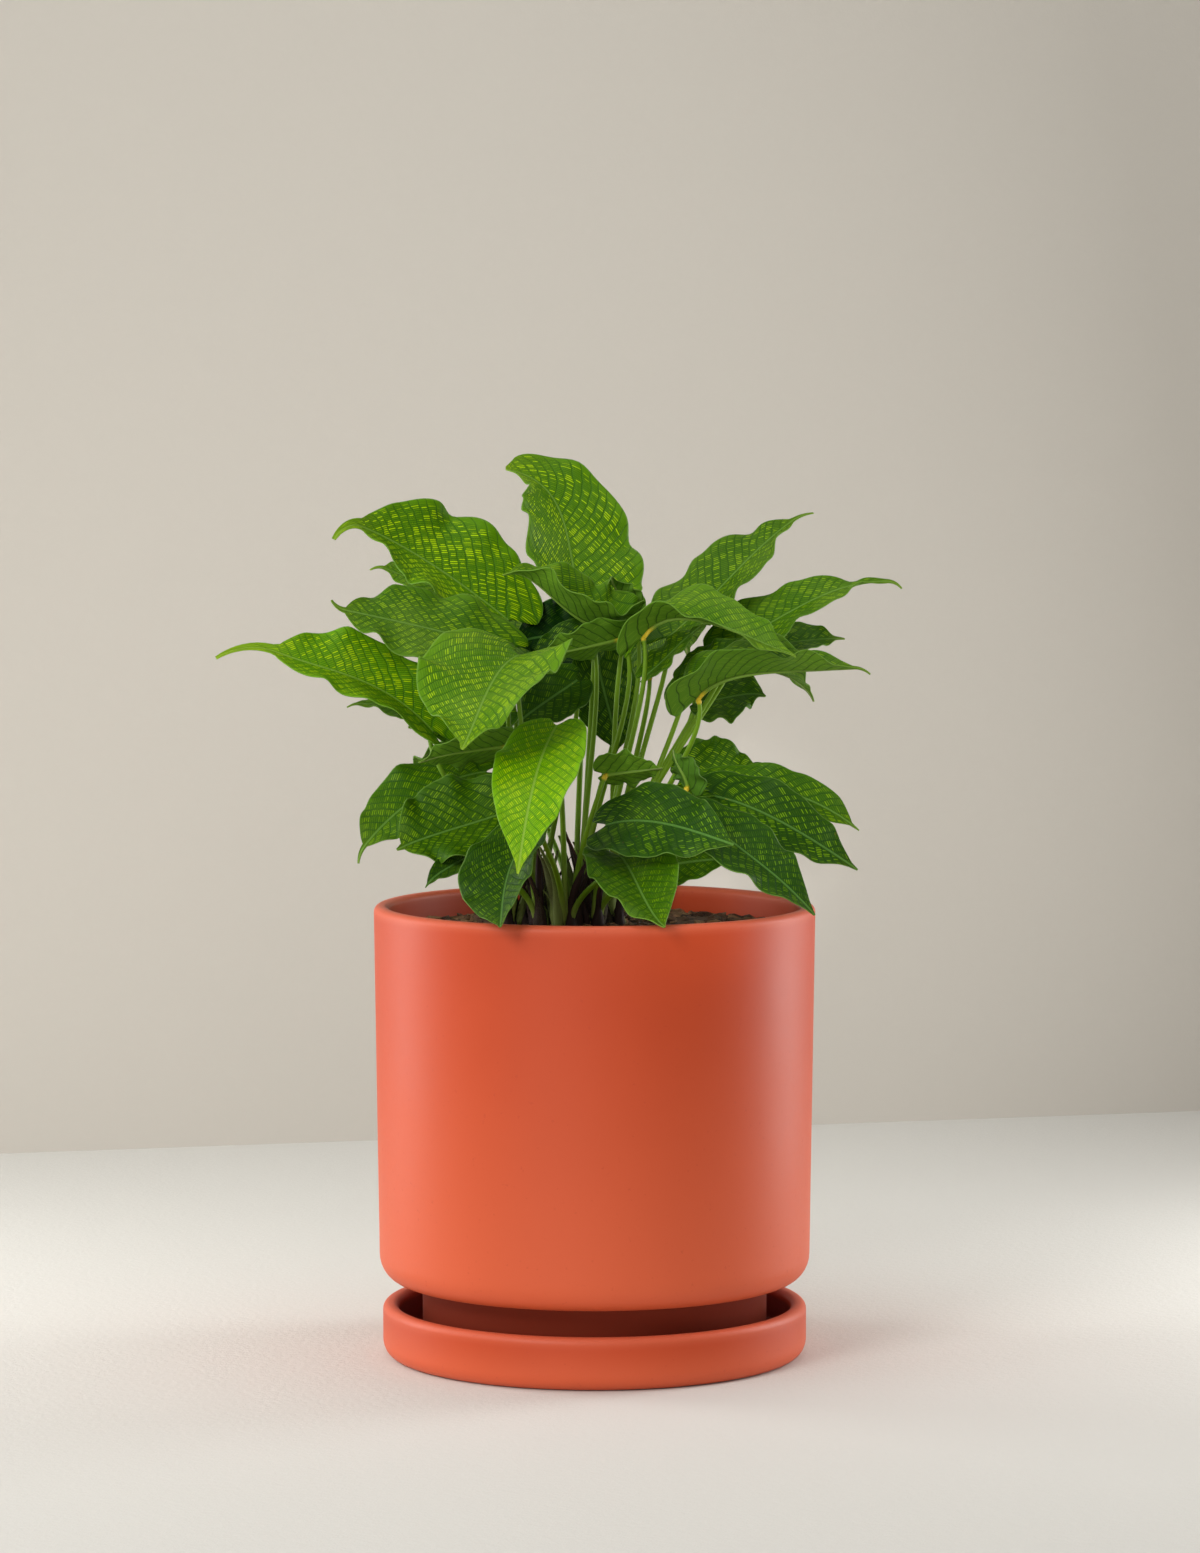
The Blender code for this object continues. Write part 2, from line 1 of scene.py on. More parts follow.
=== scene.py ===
# %% [markdown]
# # A network calathea in a coral pot
# This lesson dresses a measured frame: a glazed cylinder pot in its saucer, bark potting mix, and a
# young calathea whose blades carry a fine net of bright dashes. The frame fixes every size and
# place. Each step below makes one kind of piece at full detail, on the same measurements, and gives
# it a finish made of nodes.

import math
import random

import bmesh
import bpy
from mathutils import Matrix, Vector, noise


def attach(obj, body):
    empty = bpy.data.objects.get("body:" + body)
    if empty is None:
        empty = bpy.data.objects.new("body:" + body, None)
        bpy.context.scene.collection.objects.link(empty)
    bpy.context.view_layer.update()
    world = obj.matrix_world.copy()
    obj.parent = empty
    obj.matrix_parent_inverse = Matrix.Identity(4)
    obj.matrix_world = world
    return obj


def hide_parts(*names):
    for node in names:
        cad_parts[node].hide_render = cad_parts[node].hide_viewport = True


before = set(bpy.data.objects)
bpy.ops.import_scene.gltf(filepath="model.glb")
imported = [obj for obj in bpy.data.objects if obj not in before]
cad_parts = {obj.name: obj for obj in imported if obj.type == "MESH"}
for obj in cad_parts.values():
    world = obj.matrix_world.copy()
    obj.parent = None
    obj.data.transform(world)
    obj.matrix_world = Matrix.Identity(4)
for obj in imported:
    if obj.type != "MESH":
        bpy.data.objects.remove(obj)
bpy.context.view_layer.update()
MM = 0.001
UP = Vector((0, 0, 1))
dice = random.Random(7)

# %% [markdown]
# ## Shader maths as plain sums
# A finish is worked out from a few masks: how far a point is from a vein, which dash it lies on,
# how worn it is. Written with Math nodes one by one that is hard to read. A small class wraps a
# node's output and turns Python's own operators into Math nodes, so a mask is one line.


# %% A wire that can be used in sums
class Wire:
    """One output of a node, with arithmetic on it."""

    def __init__(self, look, socket):
        self.look = look
        self.socket = socket

    def math(self, operation, *others, swap=False):
        values = [self, *others]
        if swap:
            values.reverse()
        return self.look.node("ShaderNodeMath", {"operation": operation}, dict(enumerate(values)))

    def __add__(self, other):
        return self.math("ADD", other)

    def __sub__(self, other):
        return self.math("SUBTRACT", other)

    def __mul__(self, other):
        return self.math("MULTIPLY", other)

    def __truediv__(self, other):
        return self.math("DIVIDE", other)

    def __rsub__(self, other):
        return self.math("SUBTRACT", other, swap=True)

    __radd__ = __add__
    __rmul__ = __mul__

    def floor(self):
        return self.math("FLOOR")

    def part(self):
        return self.math("FRACT")

    def size(self):
        return self.math("ABSOLUTE")

    def least(self, other):
        return self.math("MINIMUM", other)

    def step(self, low, high):
        """0 below low, 1 above high, smooth between."""
        inputs = {"Value": self, "From Min": low, "From Max": high}
        return self.look.node("ShaderNodeMapRange", {"interpolation_type": "SMOOTHSTEP"}, inputs)


# %% A finish and its nodes
class Look:
    """A material under construction."""

    def __init__(self, name, **constants):
        self.material = bpy.data.materials.new(name)
        self.material.use_nodes = True
        self.tree = self.material.node_tree
        self.shader = self.tree.nodes["Principled BSDF"]
        self.plug(self.shader, constants)

    def plug(self, node, inputs):
        for key, value in inputs.items():
            key = key.replace("_", " ") if isinstance(key, str) else key
            if isinstance(value, Wire):
                self.tree.links.new(value.socket, node.inputs[key])
            else:
                node.inputs[key].default_value = value

    def node(self, kind, settings=None, inputs=None, out=0):
        made = self.tree.nodes.new(kind)
        for key, value in (settings or {}).items():
            setattr(made, key, value)
        self.plug(made, inputs or {})
        return Wire(self, made.outputs[out])

    def mark(self, name):
        """A number kept on the piece's own points."""
        return self.node("ShaderNodeAttribute", {"attribute_name": name}, out="Fac")

    def place(self):
        return self.node("ShaderNodeTexCoord", out="Object")

    def noise(self, where, scale, detail=2.0, rough=0.5):
        inputs = {"Vector": where, "Scale": scale, "Detail": detail, "Roughness": rough}
        return self.node("ShaderNodeTexNoise", {"noise_dimensions": "3D"}, inputs)

    def pair(self, x, y, z=0.0):
        return self.node("ShaderNodeCombineXYZ", inputs={"X": x, "Y": y, "Z": z})

    def chance(self, where):
        """A random number for each whole-number place."""
        return self.node("ShaderNodeTexWhiteNoise", {"noise_dimensions": "3D"}, {"Vector": where})

    def mix(self, share, first, second):
        inputs = {0: share, 6: first, 7: second}
        return self.node("ShaderNodeMix", {"data_type": "RGBA"}, inputs, out=2)

    def bump(self, height, strength, distance):
        inputs = {"Height": height, "Strength": strength, "Distance": distance}
        self.plug(self.shader, {"Normal": self.node("ShaderNodeBump", inputs=inputs)})

    def finish(self, **wires):
        self.plug(self.shader, wires)
        return self.material


def tint(red, green, blue):
    """An sRGB colour, 0 to 255, as the linear values that a shader takes."""
    shares = [c / 255 for c in (red, green, blue)]
    return (*[c / 12.92 if c < 0.04045 else ((c + 0.055) / 1.055) ** 2.4 for c in shares], 1)


# %% [markdown]
# ## Laying a net on a shape
# Blades and stalks are both a flat rectangle that has been bent: a blade along its midrib, a stalk
# round its own middle. So one helper makes a grid with bmesh, moves every point of it to its place
# on the bent shape, and keeps on each point the numbers that its finish will read.


# %% Grid helper and object helper
def keep(mesh, name, node, *looks, smooth=True):
    """Makes the object, with its finishes, and ties it to the frame's one body."""
    for look in looks:
        mesh.materials.append(look)
    mesh.shade_smooth() if smooth else mesh.shade_flat()
    made = bpy.data.objects.new(name, mesh)
    bpy.context.scene.collection.objects.link(made)
    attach(made, "root")
    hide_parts(node)
    return made


def laid_grid(columns, rows, place, round_it=False):
    """A grid of columns by rows cells. place(u, v) gives a point and its marks."""
    shape = bmesh.new()
    bmesh.ops.create_grid(shape, x_segments=columns, y_segments=rows, size=1)
    for key in place(0, 0)[1]:
        shape.verts.layers.float.new(key)
    for vert in shape.verts:
        point, marks = place((vert.co.x + 1) / 2, (vert.co.y + 1) / 2)
        vert.co = point * MM
        for key, value in marks.items():
            vert[shape.verts.layers.float[key]] = value
    if round_it:
        bmesh.ops.remove_doubles(shape, verts=shape.verts, dist=0.00001)
    return shape


def to_mesh(shape, name, outward=False):
    if outward:
        bmesh.ops.recalc_face_normals(shape, faces=shape.faces)
    mesh = bpy.data.meshes.new(name)
    shape.to_mesh(mesh)
    shape.free()
    return mesh


# %% [markdown]
# ## Measurements of the plant
# A calathea has no trunk. Each leaf stands on its own long stalk, and the stalks rise in small
# clumps out of the mix. Every leaf is written down once: four points of its midrib in millimetres,
# with heights above the soil's edge, its half width, how it is rolled and folded, its tail, and the
# clump that it belongs to. Its blade, its stalk and its pattern all follow from that.

# %% Clumps and leaves
SOIL_TOP = 197.0
SHOOTS = {
    "a": (-36, 4),
    "b": (-24, -6),
    "c": (-13, -13),
    "d": (-1, -7),
    "e": (8, 3),
    "f": (-27, 16),
    "g": (-9, 20),
    "h": (5, 18),
}
# Each leaf's tone number is partly its own shade of green and partly painted shade: it is lower for
# leaves that sit low or deep in the plant, where shade falls.
LEAVES = {
    "leaf_top": {
        "rib": ((1, 18, 142), (-10, 40, 164), (-17, 61, 191), (-39, 66, 209)),
        "half": 33, "roll": (0, 0), "fold": (20, 18), "tail": (3, 0), "phase": 0.6, "shoot": "g",
        "blunt": 0.65, "ripple": 0.05, "lobe": 0.03, "tone_and_shade": 0.5, "net": 0.9, "painted_sheen": 0.15,
    },
    "leaf_top_small": {
        "rib": ((17, 6, 143), (-4, 0, 141), (-22, -4, 155), (-38, -4, 163)),
        "half": 21, "roll": (-22, -22), "fold": (48, 48), "tail": (4, 0), "phase": 1.7, "shoot": "d",
        "tone_and_shade": 0.45, "net": 0.35, "painted_sheen": 0.55,
    },
    "leaf_top_curl": {
        "rib": ((17, 14, 142), (14, 14, 149), (10, 12, 155), (8, 4, 161)),
        "half": 9, "roll": (0, 0), "fold": (35, 35), "tail": (6, 120), "phase": 2.9, "shoot": "h",
        "tone_and_shade": 0.15, "net": 0.1, "painted_sheen": 0.3,
    },
    "leaf_left_1": {
        "rib": ((-40, 32, 140), (-64, 34, 158), (-87, 32, 173), (-108, 22, 184)),
        "half": 32, "roll": (-46, -44), "fold": (22, 22), "tail": (15, 85), "phase": 0.2, "shoot": "f",
        "blunt": 1.0, "widest": 0.42, "tone_and_shade": 0.55, "net": 1.0, "painted_sheen": 0.05,
    },
    "leaf_left_2": {
        "rib": ((-40, -12, 129), (-65, -17, 136), (-90, -20, 142), (-113, -22, 147)),
        "half": 25, "roll": (-38, -38), "fold": (6, 6), "tail": (8, -50), "phase": 1.4, "shoot": "a",
        "blunt": 0.8, "widest": 0.45, "tone_and_shade": 0.36, "net": 0.6, "painted_sheen": 0.3,
    },
    "leaf_left_3": {
        "rib": ((-74, -10, 91), (-97, -14, 110), (-121, -18, 120), (-145, -20, 128)),
        "half": 21, "roll": (-48, -48), "fold": (30, 30), "tail": (27, 55), "phase": 2.3, "shoot": "a",
        "blunt": 0.8, "widest": 0.5, "sway": (0, -20, 0), "tone_and_shade": 0.75, "net": 0.8, "painted_sheen": 0.15,
    },
    "leaf_left_4": {
        "rib": ((-44, 44, 144), (-69, 48, 153), (-86, 48, 159), (-98, 42, 164)),
        "half": 18, "roll": (-30, -30), "fold": (10, 10), "tail": (8, 50), "phase": 3.3, "shoot": "f",
        "tone_and_shade": 0.6, "net": 0.5, "painted_sheen": 0.2,
    },
    "leaf_left_5": {
        "rib": ((-61, 26, 95), (-81, 26, 98), (-96, 24, 101), (-110, 20, 102)),
        "half": 12, "roll": (-30, -30), "fold": (10, 10), "tail": (5, 30), "phase": 0.9, "shoot": "f",
        "tone_and_shade": 0.4, "net": 0.4, "painted_sheen": 0.3,
    },
    "leaf_left_6": {
        "rib": ((-41, 14, 101), (-56, 14, 98), (-69, 12, 94), (-83, 8, 92)),
        "half": 17, "roll": (-60, -50), "fold": (10, 10), "tail": (3, 0), "phase": 5, "shoot": "f",
        "tone_and_shade": 0.3, "net": 0.4, "painted_sheen": 0.1,
    },
    "leaf_front_1": {
        "rib": ((-34, -28, 127), (-44, -56, 119), (-51, -78, 105), (-57, -90, 91)),
        "half": 35, "roll": (-26, -12), "fold": (38, 0), "tail": (3, 0), "phase": 4.1, "shoot": "b",
        "tone_and_shade": 0.55, "net": 0.7, "painted_sheen": 0.35,
    },
    "leaf_front_2": {
        "rib": ((-17, -40, 96), (-24, -72, 82), (-29, -96, 63), (-33, -106, 39)),
        "half": 20, "roll": (0, 0), "fold": (8, 8), "tail": (4, 0), "phase": 5.2, "shoot": "c",
        "ripple": 0.06, "lobe": 0.07, "tone_and_shade": 1.0, "net": 0.6, "painted_sheen": 0.3,
    },
    "leaf_front_3": {
        "rib": ((-37, -15, 86), (-52, -20, 84), (-65, -24, 82), (-77, -26, 79)),
        "half": 17, "roll": (35, 35), "fold": (5, 5), "tail": (3, 0), "phase": 0.5, "shoot": "b",
        "lobe": 0.06, "tone_and_shade": 0.3, "net": 0.3, "painted_sheen": 0.35,
    },
    "leaf_front_4": {
        "rib": ((21, -20, 134), (40, -26, 144), (64, -38, 138), (87, -50, 129)),
        "half": 17, "roll": (-5, 30), "fold": (40, 26), "tail": (4, 20), "phase": 1.1, "shoot": "d",
        "lobe": 0.16, "tone_and_shade": 0.45, "net": 0.4, "painted_sheen": 0.5,
    },
    "leaf_front_5": {
        "rib": ((13, -4, 134), (0, -10, 131), (-13, -12, 128), (-27, -13, 125)),
        "half": 14, "roll": (40, 40), "fold": (12, 12), "tail": (3, 0), "phase": 2.2, "shoot": "g",
        "tone_and_shade": 0.35, "net": 0.4, "painted_sheen": 0.3,
    },
    "leaf_right_1": {
        "rib": ((34, 16, 133), (53, 26, 150), (72, 34, 169), (92, 40, 186)),
        "half": 22, "roll": (22, 20), "fold": (18, 18), "tail": (11, 30), "phase": 4.4, "shoot": "h",
        "blunt": 1.0, "tone_and_shade": 0.33, "net": 0.55, "painted_sheen": 0.25,
    },
    "leaf_right_2": {
        "rib": ((62, 10, 130), (85, 12, 142), (109, 12, 154), (135, 8, 159)),
        "half": 18, "roll": (36, 34), "fold": (16, 16), "tail": (7, 50), "phase": 4.4, "shoot": "h",
        "blunt": 2.3, "widest": 0.28, "tone_and_shade": 0.4, "net": 0.4, "painted_sheen": 0.35,
    },
    "leaf_right_3": {
        "rib": ((46, -18, 106), (63, -26, 117), (89, -30, 120), (117, -33, 121)),
        "half": 22, "roll": (8, 8), "fold": (40, 40), "tail": (8, 45), "phase": 5.3, "shoot": "e",
        "tone_and_shade": 0.35, "net": 0.35, "painted_sheen": 0.55,
    },
    "leaf_right_4": {
        "rib": ((65, 23, 126), (82, 25, 129), (98, 26, 131), (112, 26, 132)),
        "half": 17, "roll": (30, 30), "fold": (12, 12), "tail": (4, 10), "phase": 0.4, "shoot": "h",
        "sway": (-3, -14, 0), "tone_and_shade": 0.35, "net": 0.5, "painted_sheen": 0.7,
    },
    "leaf_right_5": {
        "rib": ((48, 40, 102), (58, 41, 103), (69, 41, 105), (78, 39, 105)),
        "half": 19, "roll": (40, 40), "fold": (10, 10), "tail": (2, 0), "phase": 1.3, "shoot": "h",
        "tone_and_shade": 0.25, "net": 0.4, "painted_sheen": 0.3,
    },
    "leaf_inner_1": {
        "rib": ((41, 0, 116), (50, 0, 122), (59, 0, 128), (68, 0, 133)),
        "half": 10, "roll": (30, 30), "fold": (12, 12), "tail": (3, 0), "phase": 2.6, "shoot": "e",
        "tone_and_shade": 0.3, "net": 0.5, "painted_sheen": 0.1,
    },
    "leaf_inner_2": {
        "rib": ((24, -8, 117), (32, -8, 124), (40, -9, 132), (48, -10, 139)),
        "half": 10, "roll": (30, 30), "fold": (12, 12), "tail": (3, 0), "phase": 3.7, "shoot": "h",
        "tone_and_shade": 0.3, "net": 0.5, "painted_sheen": 0.1,
    },
    "leaf_inner_3": {
        "rib": ((-7, 42, 134), (-17, 40, 133), (-27, 38, 132), (-37, 34, 129)),
        "half": 17, "roll": (-70, -70), "fold": (8, 8), "tail": (2, 0), "phase": 4.6, "shoot": "g",
        "tone_and_shade": 0.0, "net": 0.1, "painted_sheen": 0.0,
    },
    "leaf_inner_4": {
        "rib": ((-1, 8, 135), (-10, 8, 133), (-20, 8, 129), (-29, 8, 125)),
        "half": 9, "roll": (-64, -64), "fold": (8, 8), "tail": (2, 0), "phase": 5.7, "shoot": "g",
        "tone_and_shade": 0.1, "net": 0.45, "painted_sheen": 0.1,
    },
    "leaf_inner_5": {
        "rib": ((2, 28, 122), (4, 27, 109), (8, 26, 94), (10, 25, 81)),
        "half": 16, "roll": (66, 66), "fold": (8, 8), "tail": (2, 0), "phase": 0.8, "shoot": "g",
        "tone_and_shade": 0.2, "net": 0.4, "painted_sheen": 0.1,
    },
    "leaf_inner_6": {
        "rib": ((-8, 2, 114), (-17, -2, 108), (-26, -6, 102), (-34, -10, 96)),
        "half": 14, "roll": (-50, -50), "fold": (8, 8), "tail": (2, 0), "phase": 1.9, "shoot": "f",
        "tone_and_shade": 0.15, "net": 0.3, "painted_sheen": 0.1,
    },
    "leaf_low_1": {
        "rib": ((-50, 13, 71), (-72, 7, 65), (-90, -1, 54), (-105, -9, 39)),
        "half": 18, "roll": (-35, -35), "fold": (12, 12), "tail": (9, 40), "phase": 3.9, "shoot": "a",
        "blunt": 0.8, "widest": 0.5, "tone_and_shade": 0.3, "net": 0.4, "painted_sheen": 0.3,
    },
    "leaf_low_2": {
        "rib": ((-37, -20, 56), (-56, -23, 50), (-73, -27, 45), (-87, -31, 40)),
        "half": 24, "roll": (-48, -48), "fold": (22, 22), "tail": (3, 0), "phase": 4.8, "shoot": "b",
        "blunt": 0.7, "widest": 0.48, "tone_and_shade": 0.25, "net": 0.5, "painted_sheen": 0.15,
    },
    "leaf_low_3": {
        "rib": ((-25, -56, 52), (-36, -76, 38), (-40, -94, 24), (-41, -108, 13)),
        "half": 24, "roll": (8, 8), "fold": (34, 4), "tail": (2, 0), "phase": 5.9, "shoot": "c",
        "ripple": 0.05, "tone_and_shade": 0.1, "net": 0.35, "painted_sheen": 0.3,
    },
    "leaf_low_4": {
        "rib": ((-52, -30, 39), (-61, -38, 34), (-69, -45, 30), (-75, -50, 25)),
        "half": 7, "roll": (-30, -30), "fold": (15, 15), "tail": (2, 0), "phase": 0.7, "shoot": "b",
        "tone_and_shade": 0.1, "net": 0.2, "painted_sheen": 0.3,
    },
    "leaf_low_5": {
        "rib": ((11, -40, 37), (17, -60, 30), (23, -84, 20), (30, -106, 12)),
        "half": 22, "roll": (-5, -5), "fold": (42, 6), "tail": (2, 0), "phase": 1.5, "shoot": "c",
        "ripple": 0.05, "tone_and_shade": 0.3, "net": 0.35, "painted_sheen": 0.3,
    },
    "leaf_low_6": {
        "rib": ((5, -44, 51), (24, -58, 54), (43, -70, 51), (60, -80, 46)),
        "half": 20, "roll": (48, 50), "fold": (4, 4), "tail": (2, 0), "phase": 2.4, "shoot": "d",
        "sway": (0, 0, 8), "tone_and_shade": 0.08, "net": 0.35, "painted_sheen": 0.3,
    },
    "leaf_low_7": {
        "rib": ((21, -36, 32), (35, -40, 33), (48, -44, 35), (62, -48, 36)),
        "half": 11, "roll": (60, 60), "fold": (4, 4), "tail": (2, 0), "phase": 3.2, "shoot": "d",
        "tone_and_shade": 0.25, "net": 0.3, "painted_sheen": 0.3,
    },
    "leaf_low_8": {
        "rib": ((40, 28, 65), (52, 28, 65), (65, 29, 66), (77, 31, 68)),
        "half": 22, "roll": (52, 52), "fold": (18, 18), "tail": (3, 0), "phase": 4.2, "shoot": "e",
        "blunt": 0.8, "widest": 0.45, "ripple": 0.05, "tone_and_shade": 0.35, "net": 0.55, "painted_sheen": 0.35,
    },
    "leaf_low_9": {
        "rib": ((57, 36, 61), (69, 36, 63), (81, 36, 65), (91, 36, 64)),
        "half": 11, "roll": (50, 50), "fold": (10, 10), "tail": (2, 0), "phase": 5.1, "shoot": "h",
        "tone_and_shade": 0.2, "net": 0.2, "painted_sheen": 0.2,
    },
    "leaf_low_10": {
        "rib": ((48, 2, 65), (70, -2, 66), (94, -6, 61), (117, -12, 49)),
        "half": 12, "roll": (42, 45), "fold": (15, 15), "tail": (5, 0), "phase": 0.3, "shoot": "e",
        "blunt": 0.9, "widest": 0.6, "tone_and_shade": 0.3, "net": 0.45, "painted_sheen": 0.25,
    },
    "leaf_low_11": {
        "rib": ((55, -18, 62), (76, -20, 55), (97, -26, 44), (116, -32, 32)),
        "half": 17, "roll": (45, 50), "fold": (10, 10), "tail": (4, 0), "phase": 1.6, "shoot": "e",
        "tone_and_shade": 0.12, "net": 0.45, "painted_sheen": 0.2,
    },
    "leaf_low_12": {
        "rib": ((47, -45, 56), (64, -60, 43), (80, -70, 31), (96, -78, 16)),
        "half": 18, "roll": (20, 25), "fold": (10, 10), "tail": (3, 0), "phase": 2.7, "shoot": "d",
        "tone_and_shade": 0.08, "net": 0.3, "painted_sheen": 0.35,
    },
    "leaf_low_13": {
        "rib": ((4, -28, 73), (12, -30, 74), (21, -32, 75), (29, -34, 76)),
        "half": 13, "roll": (-40, -40), "fold": (10, 10), "tail": (2, 0), "phase": 3.6, "shoot": "c",
        "tone_and_shade": 0.4, "net": 0.35, "painted_sheen": 0.5,
    },
    "leaf_low_14": {
        "rib": ((43, -24, 66), (41, -26, 72), (38, -26, 77), (36, -24, 82)),
        "half": 12, "roll": (30, 30), "fold": (10, 10), "tail": (2, 0), "phase": 4.9, "shoot": "d",
        "tone_and_shade": 0.0, "net": 0.05, "painted_sheen": 0.3,
    },
    "leaf_back_1": {
        "rib": ((-24, 58, 115), (-46, 80, 131), (-66, 98, 137), (-86, 114, 131)),
        "half": 24, "roll": (0, 0), "fold": (14, 14), "tail": (6, 20), "phase": 5.5, "shoot": "f",
        "tone_and_shade": 0.45, "net": 0.6, "painted_sheen": 0.2,
    },
    "leaf_back_2": {
        "rib": ((15, 56, 117), (26, 82, 131), (36, 104, 133), (44, 124, 123)),
        "half": 28, "roll": (0, 0), "fold": (14, 14), "tail": (6, 20), "phase": 0.1, "shoot": "g",
        "tone_and_shade": 0.4, "net": 0.6, "painted_sheen": 0.2,
    },
    "leaf_back_3": {
        "rib": ((46, 66, 103), (66, 80, 113), (86, 92, 113), (102, 102, 103)),
        "half": 24, "roll": (0, 0), "fold": (14, 14), "tail": (6, 20), "phase": 1, "shoot": "h",
        "tone_and_shade": 0.35, "net": 0.5, "painted_sheen": 0.2,
    },
    "leaf_back_4": {
        "rib": ((-44, 42, 75), (-58, 56, 77), (-72, 70, 71), (-84, 84, 57)),
        "half": 20, "roll": (0, 0), "fold": (12, 12), "tail": (6, 20), "phase": 2.1, "shoot": "f",
        "lobe": 0.08, "tone_and_shade": 0.25, "net": 0.4, "painted_sheen": 0.2,
    },
    "leaf_back_5": {
        "rib": ((-27, 58, 59), (-36, 80, 59), (-45, 97, 47), (-52, 110, 29)),
        "half": 24, "roll": (0, 0), "fold": (12, 12), "tail": (6, 20), "phase": 3, "shoot": "g",
        "lobe": 0.06, "tone_and_shade": 0.2, "net": 0.4, "painted_sheen": 0.2,
    },
    "leaf_back_6": {
        "rib": ((46, 56, 45), (62, 68, 49), (78, 80, 43), (88, 92, 29)),
        "half": 20, "roll": (0, 0), "fold": (12, 12), "tail": (6, 20), "phase": 4, "shoot": "h",
        "lobe": 0.08, "tone_and_shade": 0.2, "net": 0.4, "painted_sheen": 0.2,
    },
}
print(len(LEAVES), "leaves in", len(SHOOTS), "clumps")

# %% [markdown]
# ## The shape of one blade
# A blade is a lance-shaped sheet: broadest a third of the way along, drawn out into a tail, with
# two round lobes behind the place where its stalk joins. Its halves fold up from the midrib and its
# margin ripples. Forty-five of them modelled by hand would never agree with the frame, so the
# surface that gave the frame its blades is used again, with a much finer net and finer ripples.

# %% Midrib, outline and surface
BLADE_SHARE = 0.9
WIDEST = 0.36
BASE_WIDTH = 0.26
TAIL_WIDTH = 0.08
BLUNT = 1.15
RIPPLE = 0.1
RIPPLE_WAVES = 2.6
CRIMP = 0.06
CRIMP_WAVES = 4.6
LOBE_BACK = 0.14
# Three leaves end broader than the rest. The top one's tip, rolled forwards on the plant, looks cut off,
# so here it simply ends broad.
LEAVES["leaf_top"]["end"] = 0.22
LEAVES["leaf_left_1"]["end"] = 0.13
LEAVES["leaf_left_3"]["end"] = 0.16


def midrib(points, t):
    first, second, third, last = (Vector(p) + UP * SOIL_TOP for p in points)
    out = (first * -5 + second * 18 - third * 9 + last * 2) / 6
    back = (first * 2 - second * 9 + third * 18 - last * 5) / 6
    s = 1 - t
    here = first * s**3 + out * (3 * s * s * t) + back * (3 * s * t * t) + last * t**3
    slope = (out - first) * (3 * s * s) + (back - out) * (6 * s * t) + (last - back) * (3 * t * t)
    return here, slope


def half_width(t, blunt, widest, end):
    if t < widest:
        return BASE_WIDTH + (1 - BASE_WIDTH) * math.sqrt(1 - (1 - t / widest) ** 2)
    q = (t - widest) / (1 - widest)
    return end + (1 - end) * max(0, 1 - q * q) ** blunt


def side_and_normal(ahead, flat, turn):
    side = (flat - ahead * flat.dot(ahead)).normalized()
    normal = side.cross(ahead)
    c = math.cos(turn)
    s = math.sin(turn)
    return side * c - normal * s, normal * c + side * s


def leaf_frame(leaf, s):
    """Midrib point, heading, side, normal and half width at share s of the leaf, tail included."""
    flat = (Vector(leaf["rib"][3]) - Vector(leaf["rib"][0])).cross(UP).normalized()
    t = min(1, s / BLADE_SHARE)
    here, slope = midrib(leaf["rib"], t)
    ahead = slope.normalized()
    shape = (leaf.get("blunt", BLUNT), leaf.get("widest", WIDEST), leaf.get("end", TAIL_WIDTH))
    width = leaf["half"] * half_width(t, *shape)
    along = max(0, (s - BLADE_SHARE) / (1 - BLADE_SHARE))
    if along > 0:
        tail, droop = leaf["tail"]
        bend = math.radians(droop) * along
        down = side_and_normal(ahead, flat, 0)[1] * -1
        here = here + (ahead * math.cos(bend / 2) + down * math.sin(bend / 2)) * (tail * along)
        ahead = ahead * math.cos(bend) + down * math.sin(bend)
        width = leaf["half"] * leaf.get("end", TAIL_WIDTH) * (1 - 0.7 * along)
    roll = leaf["roll"]
    side, normal = side_and_normal(ahead, flat, math.radians(roll[0] * (1 - t) + roll[1] * t))
    return here, ahead, side, normal, width, t


def leaf_length(leaf):
    return (Vector(leaf["rib"][3]) - Vector(leaf["rib"][0])).length


def blade_point(leaf, s, v):
    """A point of the blade at share s of its length and v across, from -1 at left to 1 at right."""
    here, ahead, side, normal, width, t = leaf_frame(leaf, s)
    rise = math.radians(leaf["fold"][0] if v < 0 else leaf["fold"][1])
    calm = min(1, 4 * t, 6 * (1 - t))
    turn = 2 * math.pi * RIPPLE_WAVES * t + leaf["phase"] + (2.1 if v > 0 else 0)
    wave = leaf.get("ripple", RIPPLE) * leaf["half"] * v * v * math.sin(turn) * calm
    fine = 2 * math.pi * CRIMP_WAVES * t + leaf["phase"] * 3 + (1.3 if v > 0 else 0)
    wave += CRIMP * leaf["half"] * abs(v) ** 3 * math.sin(fine + 0.5 * math.sin(0.7 * fine)) * calm
    reach = leaf.get("lobe", LOBE_BACK) * leaf_length(leaf)
    lobe = reach * (3 * v * v - 2 * abs(v) ** 3) * max(0, 1 - t / 0.6) ** 2
    across = side * (v * width * math.cos(rise)) + normal * (abs(v) * width * math.sin(rise) + wave)
    return here + across - ahead * lobe, width, t


# %% [markdown]
# ## The net on the upper side
# On this plant thin dark veins leave the midrib slanting forwards, a few millimetres apart. Between
# two of them, square to them, lie short rungs, some bright yellow-green and some not, like a broken
# ladder. A picture would fix their size to one leaf. Here they are counted instead. Distance along
# the midrib less a share of the distance out from it tells which pair of veins a point lies between.
# The same two the other way round, added, tell which rung. A random number for each pair and rung
# lights it or not.

# %% Blade finishes
VEIN_SPACING = 3.7
RUNG_SPACING = 1.0
SLANT = 0.8


